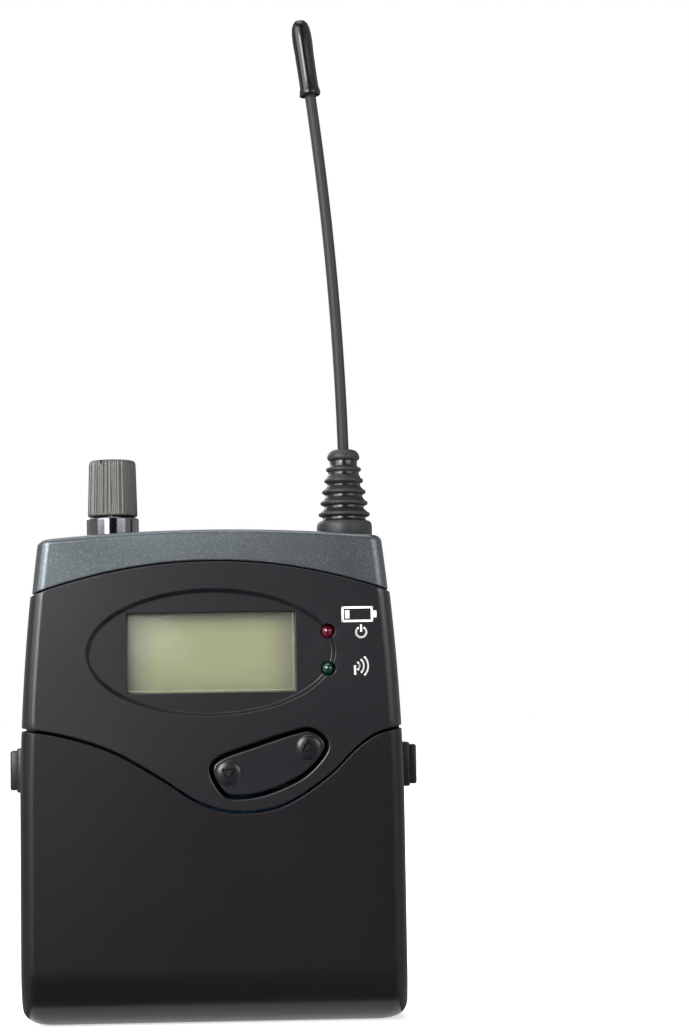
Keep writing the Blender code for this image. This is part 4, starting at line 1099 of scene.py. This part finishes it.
def make_cells():
    """Two AA cells with a printed sleeve, a bare rim and a raised pole."""
    half = 25.25
    radius = 7.15
    shoulder = half - 1.0
    for name, z, way in (("lower", 15.9, 1), ("upper", 30.9, -1)):
        profile = [
            (0.0, -half), (4.5, -half), (radius - 0.75, -half + 0.05), (radius - 0.4, -half + 0.2),
            (radius - 0.12, -half + 0.45), (radius, -half + 0.7), (radius, shoulder - 14.0),
            (radius, shoulder - 0.7), (radius - 0.12, shoulder - 0.4), (radius - 0.5, shoulder - 0.12),
            (radius - 1.0, shoulder - 0.02), (radius - 1.4, shoulder - 0.12), (3.0, shoulder - 0.1),
            (2.75, shoulder), (2.7, half - 0.25), (2.5, half - 0.05), (2.2, half), (0.0, half),
        ]
        looks = [1, 1, 1, 0, 0, 0, 2, 0, 0, 0, 1, 1, 1, 1, 1, 1, 1, 1]
        bm = turned(profile, (0.0, 0.8, z), (way, 0, 0), 64, looks)
        finishes = ["cell_sleeve", "cell_end", "brass"]
        stand_in(f"battery_cell_{name}", bm, "cell_sleeve", looks=finishes, angle=40)
        wire = coil(0.8, z, (-way * (half + 0.62), -way * (half + 1.72)), (1.6, 3.8), 3, 24)
        stand_in(f"contact_spring_{name}", tube(wire, 0.28, 10), "contact_steel", angle=60)


def dress_carried_nodes():
    """Give every CAD node the finish of its material slot in the record."""
    for subpart in frame["record"]["subparts"]:
        node = frame["nodes"][subpart["node"]]
        node.data.materials.clear()
        node.data.materials.append(LOOKS[subpart["material_slot"]])


# ---------------------------------------------------------------- studio

def make_floor():
    """Plain pale floor that leaves no glare in the casing, and the patch under the unit's foot."""
    look = finish("floor", (0.94, 0.94, 0.945), 0.8, tone=0.01, patch=6.0, grain=900.0, depth=0.004,
                  Emission_Color=(1.0, 1.0, 1.0, 1.0), Emission_Strength=0.62)
    for name, (across, deep, drop) in FLOOR_SHEETS.items():
        sheet = prism_y([(-across, -1.0), (across, -1.0), (across, 0.0), (-across, 0.0)], -deep, deep)
        bmesh.ops.scale(sheet, vec=(MM, MM, MM), verts=sheet.verts)
        floor = placed(name, mesh_of(sheet, name))
        floor.location.z = -drop * MM
        floor.visible_glossy = name == "floor_patch"
        floor.data.materials.append(look)


def soft_box(name, spot, aim, size, power):
    """A soft rectangular light that the camera doesn't see."""
    data = bpy.data.lights.new(name, "AREA")
    data.shape = "RECTANGLE"
    data.size, data.size_y = size
    data.energy = power
    light = placed(name, data)
    light.location = spot
    light.rotation_euler = (aim - spot).to_track_quat("-Z", "Y").to_euler()
    light.visible_camera = False


def make_world():
    """Plain white surroundings: a tent whose sides show in glossy surfaces and whose front is dark."""
    world = bpy.data.worlds.new("studio")
    world.use_nodes = True
    bpy.context.scene.world = world
    tree = world.node_tree
    back = tree.nodes["Background"]
    back.inputs["Color"].default_value = (1.0, 1.0, 1.0, 1.0)
    rays = tree.nodes.new("ShaderNodeLightPath")
    where = tree.nodes.new("ShaderNodeTexCoord")
    apart = tree.nodes.new("ShaderNodeSeparateXYZ")
    tree.links.new(where.outputs["Generated"], apart.inputs["Vector"])
    aside = add(tree, "ShaderNodeMath", operation="ABSOLUTE")
    tree.links.new(apart.outputs["X"], aside.inputs[0])
    near, far = TENT_EDGES
    tent = add(tree, "ShaderNodeMapRange", From_Min=near, From_Max=far, To_Min=TENT_FRONT, To_Max=TENT_SIDE)
    tree.links.new(aside.outputs[0], tent.inputs["Value"])
    glossy = add(tree, "ShaderNodeMapRange", To_Min=TENT_FRONT)
    tree.links.new(rays.outputs["Is Glossy Ray"], glossy.inputs["Value"])
    tree.links.new(tent.outputs["Result"], glossy.inputs["To Max"])
    strength = add(tree, "ShaderNodeMapRange", To_Max=1.0)
    tree.links.new(rays.outputs["Is Camera Ray"], strength.inputs["Value"])
    tree.links.new(glossy.outputs["Result"], strength.inputs["To Min"])
    tree.links.new(strength.outputs["Result"], back.inputs["Strength"])


def make_camera():
    """Camera at the picture's angle: a little to the left and tilted up."""
    yaw, pitch, roll = (math.radians(angle) for angle in CAMERA_ANGLES)
    right = Vector((math.cos(yaw), -math.sin(yaw), 0.0))
    ahead = Vector((math.sin(yaw) * math.cos(pitch), math.cos(yaw) * math.cos(pitch), math.sin(pitch)))
    up = right.cross(ahead)
    x_axis = right * math.cos(roll) + up * math.sin(roll)
    y_axis = up * math.cos(roll) - right * math.sin(roll)
    data = bpy.data.cameras.new("camera")
    data.lens = CAMERA_LENS
    data.sensor_width = 36.0
    data.clip_start = 0.01
    data.clip_end = 50.0
    camera = placed("camera", data)
    pose = Matrix((x_axis, y_axis, -ahead)).transposed().to_4x4()
    pose.translation = Vector(CAMERA_PLACE)
    camera.matrix_world = pose
    bpy.context.scene.camera = camera


def make_lights():
    """Soft boxes in front on both sides, stronger on the left, with one behind and wide light from above."""
    middle = Vector((0.0, 0.0, 0.07))
    for name, (azimuth, elevation, size, power) in SOFT_BOXES.items():
        turn, rise = math.radians(azimuth), math.radians(elevation)
        way = Vector((math.sin(turn) * math.cos(rise), -math.cos(turn) * math.cos(rise), math.sin(rise)))
        soft_box(name, middle + way * BOX_DISTANCE, middle, size, power)
    data = bpy.data.lights.new("above", "SUN")
    data.energy = SUN_STRENGTH
    data.angle = math.radians(SUN_ANGLE)
    light = placed("above", data)
    light.rotation_euler = (math.radians(SUN_TILT[0]), math.radians(SUN_TILT[1]), 0.0)


def main():
    dress_carried_nodes()
    make_top_cap()
    make_front_shell()
    make_battery_cover()
    make_back_shell()
    make_window()
    make_lamps()
    make_rocker()
    make_prints()
    make_catches()
    make_knob()
    make_jack_collar()
    make_antenna()
    make_belt_clip()
    make_screws()
    make_cells()
    make_floor()
    make_lights()
    make_world()
    make_camera()


main()
bpy.context.scene.view_settings.view_transform = "Standard"
